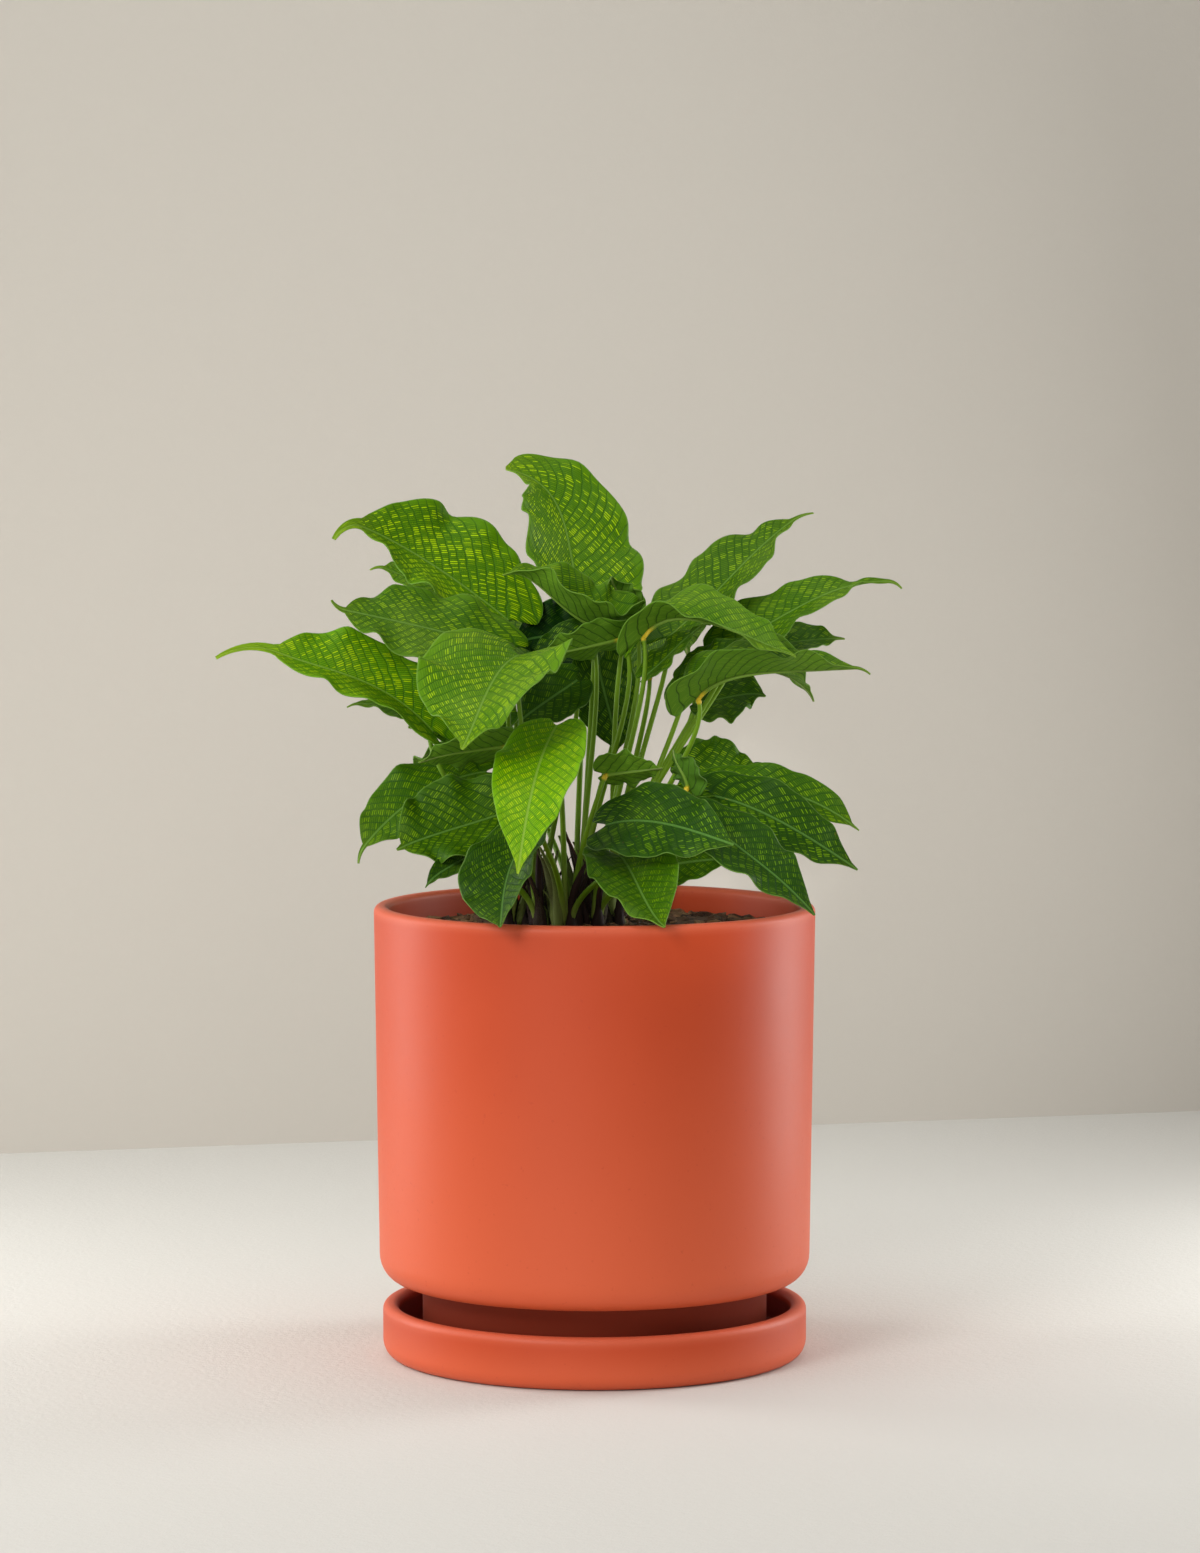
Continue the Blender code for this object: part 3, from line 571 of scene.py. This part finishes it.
def blade_look(name, upper):
    look = Look(name, Specular_IOR_Level=0.1)
    along = look.mark("along")
    across = look.mark("across")
    edge = look.mark("edge")
    tone_and_shade = look.mark("tone_and_shade")
    leaf_id = look.mark("seed")
    out = across.size()
    right = across.step(-0.01, 0.01)
    flat = look.pair(along, across, leaf_id)
    stray = look.noise(flat, 0.16, detail=1.0)
    swept = (along - out * SLANT - edge * edge * 2.5 + stray * 3.0) / math.hypot(1, SLANT) + right * 1.7
    count = swept / VEIN_SPACING
    band = count.floor()
    place = count.part()
    vein = 1 - place.least(1 - place).step(0.02, 0.085)
    start = look.chance(look.pair(band, right, leaf_id))
    square = (out + along * SLANT + edge * edge * 2.0) / math.hypot(1, SLANT)
    rungs = square / RUNG_SPACING + start
    rung = rungs.floor()
    height = rungs.part()
    who = look.pair(band * 7.0 + right * 3.0, rung, leaf_id)
    luck = look.chance(who)
    cut = look.chance(look.pair(rung, band * 5.0, leaf_id + 9.0))
    bar = height.step(0.14, 0.36) * (1 - height.step(0.64, 0.86))
    ends = (place - cut * 0.12).step(0.05, 0.12) * (1 - (place + cut * 0.3).step(0.9, 1.0))
    margin = edge.step(0.84, 0.93)
    patch = look.noise(flat, 0.07, detail=2.0)
    lit = (luck + patch * 0.7 - 0.35).step(0.35, 0.9) * bar * ends * (1 - margin)
    lit = lit * out.step(0.7, 1.8)
    gap = (1 - bar) * (1 - margin)
    rib = 1 - out.step(0.35, 0.75)
    rim = edge.step(0.97, 0.995)
    cloud = look.noise(flat, 0.035, detail=3.0)
    near_tip = look.mark("tip")
    if upper:
        # Partly painted shade: the tone mark mixes the leaf's own green with painted shade, so leaves
        # low or deep in the plant come out darker.
        dark = look.mix(cloud, tint(10, 42, 2), tint(22, 66, 2))
        light = look.mix(cloud, tint(90, 150, 0), tint(132, 186, 0))
        ground = look.mix(tone_and_shade, dark, light)
        ground = look.mix(gap * 0.65, ground, look.mix(tone_and_shade, tint(6, 32, 6), tint(58, 114, 2)))
        bright = look.mix(tone_and_shade, tint(136, 192, 2), tint(214, 240, 2))
        ground = look.mix(lit * look.mark("net"), ground, bright)
        ground = look.mix(vein * 0.6, ground, look.mix(tone_and_shade, tint(10, 42, 10), tint(50, 104, 10)))
        ground = look.mix(rib * 0.75, ground, look.mix(tone_and_shade, tint(74, 118, 50), tint(140, 178, 62)))
        ground = look.mix(rim * 0.4, ground, tint(128, 166, 74))
        # Painted sheen: a pale grey-green laid in patches and a little towards the margin, where a
        # glossy leaf reflects the light.
        pale = look.mark("painted_sheen") * (cloud.step(0.45, 0.75) * 0.45 + edge * 0.05)
        ground = look.mix(pale, ground, tint(126, 154, 66))
        ground = look.mix(near_tip * tone_and_shade * 0.5, ground, tint(176, 200, 44))
        speck = look.noise(flat, 0.35, detail=2.0).step(0.74, 0.8)
        ground = look.mix(speck * (1 - tone_and_shade) * 0.6, ground, tint(96, 66, 30))
        roughness = 0.4 + cloud * 0.2 - lit * 0.06
    else:
        ground = look.mix(cloud, tint(72, 118, 26), tint(104, 146, 44))
        dull = look.mix(0.35, ground, tint(44, 84, 20))
        fresh = look.mix(0.5, ground, tint(124, 172, 26))
        # On the underside too the tone mark is partly painted shade.
        ground = look.mix(tone_and_shade, dull, fresh)
        ground = look.mix(lit * look.mark("net") * 0.6, ground, tint(160, 198, 60))
        ground = look.mix(vein * 0.75, ground, tint(40, 64, 20))
        ground = look.mix(rib * 0.8, ground, tint(150, 168, 96))
        roughness = 0.55 + cloud * 0.15
    quilt = place * (1 - place) * 1.2 + bar * 0.12 - vein * 0.2 + stray * 0.4
    quilt = quilt - rib * (0.5 if upper else -0.7)
    look.bump(quilt, 0.55, 0.0007)
    return look.finish(Base_Color=ground, Roughness=roughness)


upper_look = blade_look("leaf_upper", True)
under_look = blade_look("leaf_under", False)
print("net: veins", VEIN_SPACING, "mm apart, rungs", RUNG_SPACING, "mm")

# %% [markdown]
# ## Blades
# Each blade is the fine net with a real thickness. Solidify gives it one, and its material offset
# puts the duller finish on the underside, so the leaf reads right from below too.

# %% Lay every blade
BLADE_THICKNESS = 0.45
BLADE_COLUMNS = 44  # along the smallest blade; a broad one has more, one for each mm of half width
BLADE_ROWS = 26
TIP_FROM = 0.72


def lay_blade(name, leaf, seed):
    columns = BLADE_COLUMNS + int(leaf["half"])
    length = leaf_length(leaf) / BLADE_SHARE

    def place(share, across):
        s = 0.5 * share + 0.25 * (1 - math.cos(math.pi * share))
        v = 1 - 2 * across
        v = v * (1.25 - 0.25 * v * v)
        point, width, t = blade_point(leaf, s, v)
        marks = {"along": s * length, "across": v * width, "edge": abs(v), "seed": seed}
        marks.update({key: leaf[key] for key in ("tone_and_shade", "net", "painted_sheen")})
        marks["tip"] = max(0, min(1, (s - TIP_FROM) / (1 - TIP_FROM))) ** 2
        return point, marks

    shape = laid_grid(columns, BLADE_ROWS, place)
    made = keep(to_mesh(shape, name + "_blade"), name + "_blade", name, upper_look, under_look)
    skin = made.modifiers.new("thickness", "SOLIDIFY")
    skin.thickness = BLADE_THICKNESS * MM
    skin.offset = 0
    skin.use_even_offset = False
    skin.material_offset = 1
    return made


blades = [lay_blade(name, leaf, 3.0 + i) for i, (name, leaf) in enumerate(LEAVES.items())]
print("blades", len(blades), "with", sum(len(b.data.polygons) for b in blades), "faces a side")

# %% [markdown]
# ## Stalks
# A stalk is round, a little thicker at its foot, olive green, and ends in a short swollen joint,
# yellow on this plant, that turns the blade to the light. Beyond it the stalk goes on along the
# underside of the blade as its midrib. The same grid helper makes it: one side of the grid runs
# along the stalk's path, the other goes once round it, and merging closes the seam.

# %% Stalk finish
look = Look("stalk", Specular_IOR_Level=0.25)
share = look.mark("share")
seed = look.mark("seed")
streaks = look.noise(look.pair(look.mark("round") * 9.0, share * 3.0, seed), 1.0, detail=3.0)
body = look.mix(streaks, tint(66, 104, 6), tint(116, 154, 18))
body = look.mix(look.chance(look.pair(seed, 2.0)) * 0.7, body, tint(124, 162, 20))
foot = look.mix(streaks, tint(150, 176, 84), tint(112, 120, 50))
body = look.mix(share.step(0.0, 0.25), foot, body)
joint = look.mark("joint")
body = look.mix(joint * (0.6 + streaks * 0.6), body, tint(214, 182, 42))
body = look.mix(look.mark("beyond"), body, tint(112, 146, 46))
look.bump(streaks, 0.3, 0.0004)
stalk_look = look.finish(Base_Color=body, Roughness=0.38 + streaks * 0.2)

# %% Stalk shapes
STALK_RADIUS = 1.5
FOOT_SPREAD = 3.6
SOIL_CROWN = 3.0
SIDES = 10
STALK_STEPS = 24
RIB_STEPS = 12  # the stalk's path goes on this far along the underside of the blade
RIB_REACH = 0.8
RIB_RADIUS = 1.05
JOINT_LENGTH = 15
JOINT_SWELL = 0.3


def stalk_path(leaf):
    """From the clump's foot up, leaning out, over into the blade, and on along its underside."""
    here, ahead, side, normal, width, t = leaf_frame(leaf, 0)
    end = here - normal * 0.9 + ahead
    centre = Vector((*SHOOTS[leaf["shoot"]], SOIL_TOP + SOIL_CROWN - 1))
    lean = (end - centre).to_2d().normalized() * FOOT_SPREAD
    foot = centre + Vector((lean.x, lean.y, 0))
    reach = (end - foot).length
    up = foot + UP * (reach * 0.38)
    turn = (ahead * 0.3 + normal * 0.55 + UP * 0.5).normalized()
    over = end - turn * (reach * 0.2) + Vector(leaf.get("sway", (0, 0, 0)))
    points = []
    for i in range(STALK_STEPS + 1):
        t = math.sin(math.pi / 2 * i / STALK_STEPS)
        s = 1 - t
        points.append(foot * s**3 + up * (3 * s * s * t) + over * (3 * s * t * t) + end * t**3)
    for i in range(1, RIB_STEPS + 1):
        here, ahead, side, normal, width, t = leaf_frame(leaf, RIB_REACH * i / RIB_STEPS)
        points.append(here - normal * (0.75 - 0.5 * i / RIB_STEPS))
    return points, reach


def tube(points, radius_at, marks_at):
    """A round bar along the points, closed at both ends."""
    last = len(points) - 1

    def place(u, v):
        i = min(last, max(0, round(u * last)))
        ahead = (points[min(last, i + 1)] - points[max(0, i - 1)]).normalized()
        across = ahead.cross(Vector((0.31, -0.9, 0.23))).normalized()
        up = across.cross(ahead)
        angle = 2 * math.pi * v
        shut = 0.02 if i in (0, last) else 1
        arm = (across * math.cos(angle) + up * math.sin(angle)) * (radius_at(i) * shut)
        return points[i] + arm, {**marks_at(i), "round": v}

    shape = laid_grid(last, SIDES, place, round_it=True)
    bmesh.ops.holes_fill(shape, edges=shape.edges, sides=SIDES)
    return shape


def stalk(leaf, seed):
    points, reach = stalk_path(leaf)
    joint_share = max(0.8, 1 - JOINT_LENGTH / reach)

    def radius_at(i):
        if i > STALK_STEPS:
            return RIB_RADIUS * (1 - (i - STALK_STEPS) / (RIB_STEPS + 1))
        share = i / STALK_STEPS
        swell = JOINT_SWELL if joint_share < share < 0.99 else 0
        return STALK_RADIUS * (1 - 0.4 * share) + swell

    def marks_at(i):
        share = min(1, i / STALK_STEPS)
        beyond = i > STALK_STEPS + 1
        joint = 1.0 if joint_share < share and not beyond else 0.0
        return {"share": share, "joint": joint, "beyond": float(beyond), "seed": seed}

    return tube(points, radius_at, marks_at)


# %% [markdown]
# ## Sheaths
# Each stalk begins wrapped in a sheath. The old ones are dry, nearly black with reddish edges, and
# stand up among the stalks like split straws. A sheath is a tube laid on a grid that doesn't close:
# it wraps two thirds of the way round and narrows to a ragged tip.

# %% Sheath finish and shape
SHEATHS = 7
SHEATH_THICKNESS = 0.35
look = Look("sheath", Specular_IOR_Level=0.35)
share = look.mark("share")
seed = look.mark("seed")
streaks = look.noise(look.pair(look.mark("round") * 8.0, share * 1.4, seed), 1.0, detail=4.0)
husk = look.mix(streaks, tint(20, 13, 12), tint(58, 34, 26))
husk = look.mix(share.step(0.5, 1.0) * streaks.step(0.5, 0.7), husk, tint(124, 58, 38))
husk = look.mix(look.chance(look.pair(seed, 5.0)).step(0.72, 0.8), husk, tint(112, 126, 58))
look.bump(streaks, 0.7, 0.0008)
sheath_look = look.finish(Base_Color=husk, Roughness=0.6 + streaks * 0.3)


def sheath(foot, lean, height, radius, start, seed):
    def place(u, v):
        angle = start + (v - 0.5) * 2 * math.pi * (0.72 - 0.4 * u)
        wide = radius * (1 - 0.72 * u) * (1 + 0.25 * math.sin(9 * u + seed))
        arm = Vector((math.cos(angle), math.sin(angle), 0)) * wide
        axis = foot + lean * (u * u * height * 0.35) + UP * (u * height)
        axis += Vector((math.sin(5 * u + seed), math.cos(4 * u + seed), 0)) * 0.5
        return axis + arm, {"share": u, "round": v, "seed": seed}

    shape = laid_grid(12, 7, place)
    bmesh.ops.solidify(shape, geom=shape.faces, thickness=SHEATH_THICKNESS * MM)
    return shape


# %% Put the clumps together
for number, (key, (x, y)) in enumerate(SHOOTS.items()):
    clump = bmesh.new()
    members = [leaf for leaf in LEAVES.values() if leaf["shoot"] == key]
    for i, leaf in enumerate(members):
        part = to_mesh(stalk(leaf, 10.0 * number + i), "part", outward=True)
        clump.from_mesh(part)
        bpy.data.meshes.remove(part)
    stalk_faces = len(clump.faces)
    for i in range(SHEATHS):
        angle = dice.uniform(0, 2 * math.pi)
        out = Vector((math.cos(angle), math.sin(angle), 0))
        foot = Vector((x, y, SOIL_TOP + 1)) + out * dice.uniform(1.5, 5.0)
        tall = dice.uniform(16, 44)
        wide = dice.uniform(2.2, 3.6)
        shape = sheath(foot, out, tall, wide, angle, 10.0 * number + i)
        part = to_mesh(shape, "part", outward=True)
        clump.from_mesh(part)
        bpy.data.meshes.remove(part)
    clump.faces.ensure_lookup_table()
    for face in clump.faces[stalk_faces:]:
        face.material_index = 1
    name = "stems_" + key
    made = keep(to_mesh(clump, name + "_stalks"), name + "_stalks", name, stalk_look, sheath_look)
    print(name, len(members), "stalks")

# %% [markdown]
# ## Potting mix
# The plant grows in a chunky mix of dark bark. Only its top shows, so the body is a turned shape
# like the frame's with a rough top, and some hundreds of bark chips lie on it. A chip is a squashed
# ball of twenty faces with every corner pushed about, cheap enough to repeat.

# %% Turned pieces
ROUND_STEPS = 128
ARC_STEPS = 8


def arc(centre, radii, start, end):
    """Points on part of an ellipse, from one angle in degrees to another."""
    points = []
    for i in range(ARC_STEPS + 1):
        angle = math.radians(start + (end - start) * i / ARC_STEPS)
        points.append((centre[0] + radii[0] * math.cos(angle), centre[1] + radii[1] * math.sin(angle)))
    return points


def turned(profile, closed):
    """A profile of radius and height swept once round the Z axis."""
    shape = bmesh.new()
    ring = [shape.verts.new((r * MM, 0, z * MM)) for r, z in profile]
    pairs = zip(ring, ring[1:] + ring[:1]) if closed else zip(ring, ring[1:])
    for a, b in pairs:
        shape.edges.new((a, b))
    bmesh.ops.spin(
        shape,
        geom=[*shape.verts, *shape.edges],
        cent=(0, 0, 0),
        axis=(0, 0, 1),
        angle=2 * math.pi,
        steps=ROUND_STEPS,
        use_merge=True,
    )
    bmesh.ops.remove_doubles(shape, verts=shape.verts, dist=0.00001)
    bmesh.ops.recalc_face_normals(shape, faces=shape.faces)
    return shape


# %% Mix finish
look = Look("bark_mix", Specular_IOR_Level=0.3)
spot = look.place()
grain = look.noise(spot, 900.0, detail=4.0)
lumps = look.noise(spot, 140.0, detail=3.0)
chip = look.mark("chip")
bark = look.mix(lumps.step(0.35, 0.65), tint(44, 30, 22), tint(92, 66, 48))
bark = look.mix(look.chance(look.pair(chip, 1.0)).step(0.35, 0.9) * 0.8, bark, tint(150, 112, 78))
bark = look.mix(grain.step(0.55, 0.75) * 0.35, bark, tint(12, 8, 7))
look.bump(grain + lumps, 0.8, 0.0012)
bark_look = look.finish(Base_Color=bark, Roughness=0.75 + grain * 0.2)

# %% Mix body and chips
POT_RADIUS = 101.5
POT_TOP = 208.0
POT_TAPER = 2.2
POT_WALL = 7.0
POT_LIP = 3.0
POT_CORNER_IN = 10.0
POT_CORNER_UP = 12.0
POT_FLOOR = 7.0
POT_FOOT_RADIUS = 79.5
POT_STEP = 35.0
POT_BASE = 6.3
DRAIN_RADIUS = 8.0
SOIL_GAP = 0.3
ROUGH_ABOVE = 192.0
CHIPS = 620


def pot_inside(clearance):
    low = POT_RADIUS - POT_TAPER - POT_WALL - clearance
    foot = POT_FOOT_RADIUS - POT_WALL - clearance
    shelf = POT_STEP + POT_FLOOR + clearance
    floor = POT_BASE + POT_FLOOR + clearance
    corner = arc((low - POT_CORNER_IN, shelf + POT_CORNER_UP), (POT_CORNER_IN, POT_CORNER_UP), 0, -90)
    return corner + [(foot, shelf), (foot, floor)]


wall = POT_RADIUS - POT_WALL - SOIL_GAP
top = [(wall * i / 24, SOIL_TOP + SOIL_CROWN * (1 - (i / 24) ** 2) - 2.2) for i in range(25)]
bottom = [(0, POT_BASE + POT_FLOOR + SOIL_GAP)]
shape = turned(top + pot_inside(SOIL_GAP) + bottom, closed=False)
for vert in shape.verts:
    radius = vert.co.to_2d().length
    if vert.co.z > ROUGH_ABOVE * MM and radius < (wall - 1) * MM:
        vert.co.z += noise.fractal(vert.co * 120, 0.6, 2.0, 3) * 0.0014
shape.verts.layers.float.new("chip")
soil_body = to_mesh(shape, "soil_body")
chips = bmesh.new()
chips.from_mesh(soil_body)
mark = chips.verts.layers.float["chip"]
for i in range(CHIPS):
    radius = math.sqrt(dice.uniform(0.0, 1.0)) * (wall - 4)
    angle = dice.uniform(0, 2 * math.pi)
    size = dice.uniform(1.6, 4.4)
    low = SOIL_TOP + SOIL_CROWN * (1 - (radius / wall) ** 2) - 2.0 + dice.uniform(-0.6, 1.4)
    centre = Vector((radius * math.cos(angle), radius * math.sin(angle), low))
    made = bmesh.ops.create_icosphere(chips, subdivisions=1, radius=size * MM)
    turn = Matrix.Rotation(dice.uniform(0, 6.3), 4, "Z")
    turn = turn @ Matrix.Rotation(dice.uniform(-0.5, 0.5), 4, "X")
    squash = Matrix.Diagonal((1.3, dice.uniform(0.6, 1.0), dice.uniform(0.3, 0.55), 1))
    laid = Matrix.Translation(centre * MM) @ turn @ squash
    bmesh.ops.transform(chips, matrix=laid, verts=made["verts"])
    for vert in made["verts"]:
        vert.co += Vector([dice.uniform(-0.22, 0.22) * size * MM for _ in range(3)])
        flat = vert.co.to_2d()
        if flat.length > (wall - 0.6) * MM:
            flat = flat.normalized() * ((wall - 0.6) * MM)
            vert.co = Vector((flat.x, flat.y, vert.co.z))
        vert[mark] = i + 1.0
bpy.data.meshes.remove(soil_body)
mix = keep(to_mesh(chips, "bark_mix"), "bark_mix", "soil", bark_look, smooth=False)
print("mix", len(mix.data.polygons), "faces")

# %% [markdown]
# ## Pot and saucer
# Both were thrown or cast round, then dipped in a matte coral glaze. A profile swept round the axis
# is exactly how such a thing is made. The glaze breaks a little paler on the lip, where it runs
# thin, and has a faint mottle and satin grain. Painted shade darkens it in the saucer and round the
# pot's foot, and painted light from the floor makes it paler towards the bottom.

# %% Glaze
def glaze(name, high, shade_radius, shade_top):
    """The coral glaze of a piece that is so high, with painted shade inside a radius and below a height.
    """
    look = Look(name, Specular_IOR_Level=0.32)
    spot = look.place()
    mottle = look.noise(spot, 22.0, detail=3.0)
    cloudy = look.noise(spot, 5.0, detail=2.0)
    speckle = look.noise(spot, 420.0, detail=2.0)
    x, y, height = [look.node("ShaderNodeSeparateXYZ", inputs={"Vector": spot}, out=o) for o in "XYZ"]
    # Painted shade: the glaze is darker inside the saucer and under the pot's overhang round its foot,
    # where shade falls.
    within = 1 - (x * x + y * y).step((shade_radius - 0.001) ** 2, shade_radius**2)
    painted_shade = within * (1 - height.step(shade_top - 0.003, shade_top))
    thin = height.step(high - 0.006, high)
    coat = look.mix(mottle, tint(186, 64, 24), tint(196, 72, 30))
    coat = look.mix(cloudy * 0.4, coat, tint(182, 60, 26))
    # Painted light: paler towards the bottom, where light thrown up from the floor falls.
    coat = look.mix((1 - height.step(0.0, high)) * 0.7, coat, tint(224, 104, 66))
    coat = look.mix(thin * 0.35, coat, tint(232, 124, 94))
    coat = look.mix(speckle.step(0.66, 0.78) * 0.25, coat, tint(172, 56, 34))
    coat = look.mix(painted_shade * 0.7, coat, tint(92, 20, 20))
    look.bump(speckle * 0.3 + mottle * 1.5, 0.15, 0.0005)
    return look.finish(Base_Color=coat, Roughness=0.43 + mottle * 0.08 + speckle * 0.05)


# %% Pot
low = POT_RADIUS - POT_TAPER
profile = arc((POT_RADIUS - POT_LIP, POT_TOP - POT_LIP), (POT_LIP, POT_LIP), 90, 0)
profile += arc((low - POT_CORNER_IN, POT_STEP + POT_CORNER_UP), (POT_CORNER_IN, POT_CORNER_UP), 0, -90)
profile += [(POT_FOOT_RADIUS + 0.8, POT_STEP), (POT_FOOT_RADIUS, POT_STEP - 0.8)]
profile += [(POT_FOOT_RADIUS, POT_BASE + 1), (POT_FOOT_RADIUS - 1, POT_BASE), (DRAIN_RADIUS, POT_BASE)]
profile += [(DRAIN_RADIUS, POT_BASE + POT_FLOOR)]
profile += list(reversed(pot_inside(0)))
profile += arc((POT_RADIUS - POT_WALL + POT_LIP, POT_TOP - POT_LIP), (POT_LIP, POT_LIP), 180, 92)
pot = keep(
    to_mesh(turned(profile, closed=True), "pot_glazed"),
    "pot_glazed",
    "pot",
    glaze("pot_glaze", high=0.208, shade_radius=0.083, shade_top=0.037),
)
print("pot", len(pot.data.polygons), "faces")

# %% Saucer
SAUCER_RADIUS = 97.8
SAUCER_HEIGHT = 24.0
SAUCER_WALL = 7.2
SAUCER_FLOOR = 6.0
SAUCER_LIP = 3.2
SAUCER_COVE = 4.0
SAUCER_UNDER_IN = 5.5
SAUCER_UNDER_UP = 7.5
inner = SAUCER_RADIUS - SAUCER_WALL
profile = [(0, SAUCER_FLOOR), (inner - SAUCER_COVE, SAUCER_FLOOR)]
profile += arc((inner - SAUCER_COVE, SAUCER_FLOOR + SAUCER_COVE), (SAUCER_COVE, SAUCER_COVE), -85, 0)
profile += arc((inner + SAUCER_LIP, SAUCER_HEIGHT - SAUCER_LIP), (SAUCER_LIP, SAUCER_LIP), 180, 90)
profile += arc((SAUCER_RADIUS - SAUCER_LIP, SAUCER_HEIGHT - SAUCER_LIP), (SAUCER_LIP, SAUCER_LIP), 85, 0)
under = (SAUCER_UNDER_IN, SAUCER_UNDER_UP)
profile += arc((SAUCER_RADIUS - SAUCER_UNDER_IN, SAUCER_UNDER_UP), under, 0, -90)
profile += [(0, 0)]
saucer = keep(
    to_mesh(turned(profile, closed=False), "saucer_glazed"),
    "saucer_glazed",
    "saucer",
    glaze("saucer_glaze", high=0.024, shade_radius=0.0922, shade_top=0.0215),
)
print("saucer", len(saucer.data.polygons), "faces")

# %% [markdown]
# ## Where it stands
# A warm pale floor meets a warm grey wall that runs slightly away to the right. Both are flat
# sheets, far larger than the view, with a fine paper grain so that they don't look like plain paint.
# They show from their front side only and leave the view clear from behind and from below.


# %% Floor and wall
def one_sided(paint):
    """Seen from behind the sheet isn't there, so the plant can be looked at from every side."""
    tree = paint.node_tree
    surface = next(node for node in tree.nodes if node.type == "BSDF_PRINCIPLED")
    output = next(node for node in tree.nodes if node.type == "OUTPUT_MATERIAL")
    which = tree.nodes.new("ShaderNodeNewGeometry")
    clear = tree.nodes.new("ShaderNodeBsdfTransparent")
    either = tree.nodes.new("ShaderNodeMixShader")
    tree.links.new(which.outputs["Backfacing"], either.inputs["Fac"])
    tree.links.new(surface.outputs["BSDF"], either.inputs[1])
    tree.links.new(clear.outputs["BSDF"], either.inputs[2])
    tree.links.new(either.outputs["Shader"], output.inputs["Surface"])
    return paint


def stage_sheet(name, colour, matrix, tooth):
    shape = bmesh.new()
    bmesh.ops.create_grid(shape, x_segments=1, y_segments=1, size=6)
    bmesh.ops.transform(shape, matrix=matrix, verts=shape.verts)
    look = Look(name + "_paint", Specular_IOR_Level=0.15)
    grain = look.noise(look.place(), 260.0, detail=4.0, rough=0.7)
    broad = look.noise(look.place(), 1.6, detail=2.0)
    paint = look.mix(broad * 0.2 + grain * 0.1, colour, tint(206, 202, 193))
    look.bump(grain, tooth, 0.0008)
    mesh = to_mesh(shape, name)
    mesh.materials.append(one_sided(look.finish(Base_Color=paint, Roughness=0.8 + grain * 0.1)))
    made = bpy.data.objects.new(name, mesh)
    bpy.context.scene.collection.objects.link(made)


WALL_BEHIND = 0.7
WALL_TURN = math.radians(13.8)
wall_place = Matrix.Translation((0, WALL_BEHIND, 0)) @ Matrix.Rotation(WALL_TURN, 4, "Z")
wall_place = wall_place @ Matrix.Rotation(math.pi / 2, 4, "X")
stage_sheet("floor", tint(213, 212, 207), Matrix.Translation((0, 0, -0.0002)), tooth=0.5)
stage_sheet("wall", tint(188, 183, 174), wall_place, tooth=0.15)


# %% [markdown]
# ## Light and camera
# One big soft light stands high on the left in front, so the shadow falls softly to the right and
# back. Two tall soft panels at the sides draw the pale edges down the round pot. Weaker ones light
# the front, the foot, the top and the left of the wall, and the room gives an even fill. A narrow
# beam from beside the camera passes over the rim to the inside of the pot's back wall. The camera
# looks slightly down from above the plant's top.


# %% Lights
def panel(name, place, target, size, power, colour=(1, 1, 1)):
    light = bpy.data.lights.new(name, "AREA")
    light.shape = "RECTANGLE"
    light.size, light.size_y = size
    light.energy = power
    light.color = colour
    made = bpy.data.objects.new(name, light)
    made.location = place
    made.rotation_euler = (Vector(target) - Vector(place)).to_track_quat("-Z", "Y").to_euler()
    bpy.context.scene.collection.objects.link(made)


panel("key", (-1.2, -1.8, 1.4), (0, 0, 0.25), (0.8, 0.8), 26, (1, 0.985, 0.96))
panel("front", (0.1, -2.6, 0.9), (0, 0, 0.25), (0.8, 0.8), 4)
panel("left_side", (-0.72, 0.2, 0.28), (0, -0.15, 0.12), (0.28, 0.6), 3.2)
panel("right_side", (0.7, 0.26, 0.28), (0, -0.15, 0.12), (0.28, 0.6), 4.3)
panel("low_front", (-0.4, -1.1, 0.16), (0, 0, 0.05), (0.6, 0.2), 0.8)
panel("overhead", (0.0, -0.1, 1.6), (0, 0, 0.2), (0.7, 0.7), 4)
panel("wall_left", (-1.8, -0.6, 1.5), (-0.6, 1.0, 0.7), (1.2, 1.2), 8)
BEAM_TARGET = Vector((0.06, 0.075, 0.23))
beam = bpy.data.lights.new("rim_beam", "SPOT")
beam.energy = 130
beam.spot_size = math.radians(2.6)
beam.spot_blend = 0.85
beam.shadow_soft_size = 0.04
beam_stand = bpy.data.objects.new("rim_beam", beam)
beam_stand.location = (0.02, -2.25, 0.45)
aim = BEAM_TARGET - beam_stand.location
beam_stand.rotation_euler = aim.to_track_quat("-Z", "Y").to_euler()
bpy.context.scene.collection.objects.link(beam_stand)
world = bpy.data.worlds.new("room")
world.use_nodes = True
background = world.node_tree.nodes["Background"]
background.inputs["Color"].default_value = (1.0, 0.98, 0.95, 1)
background.inputs["Strength"].default_value = 0.36
bpy.context.scene.world = world
bpy.context.scene.view_settings.view_transform = "Standard"

# %% Camera
LOOK_DOWN = 4.255
lens = bpy.data.cameras.new("camera")
lens.lens = 116.4
lens.sensor_width = 36
lens.clip_end = 50
camera = bpy.data.objects.new("camera", lens)
camera.location = (0.0025, -2.3, 0.438)
camera.rotation_euler = (math.radians(90 - LOOK_DOWN), 0, 0)
bpy.context.scene.collection.objects.link(camera)
bpy.context.scene.camera = camera
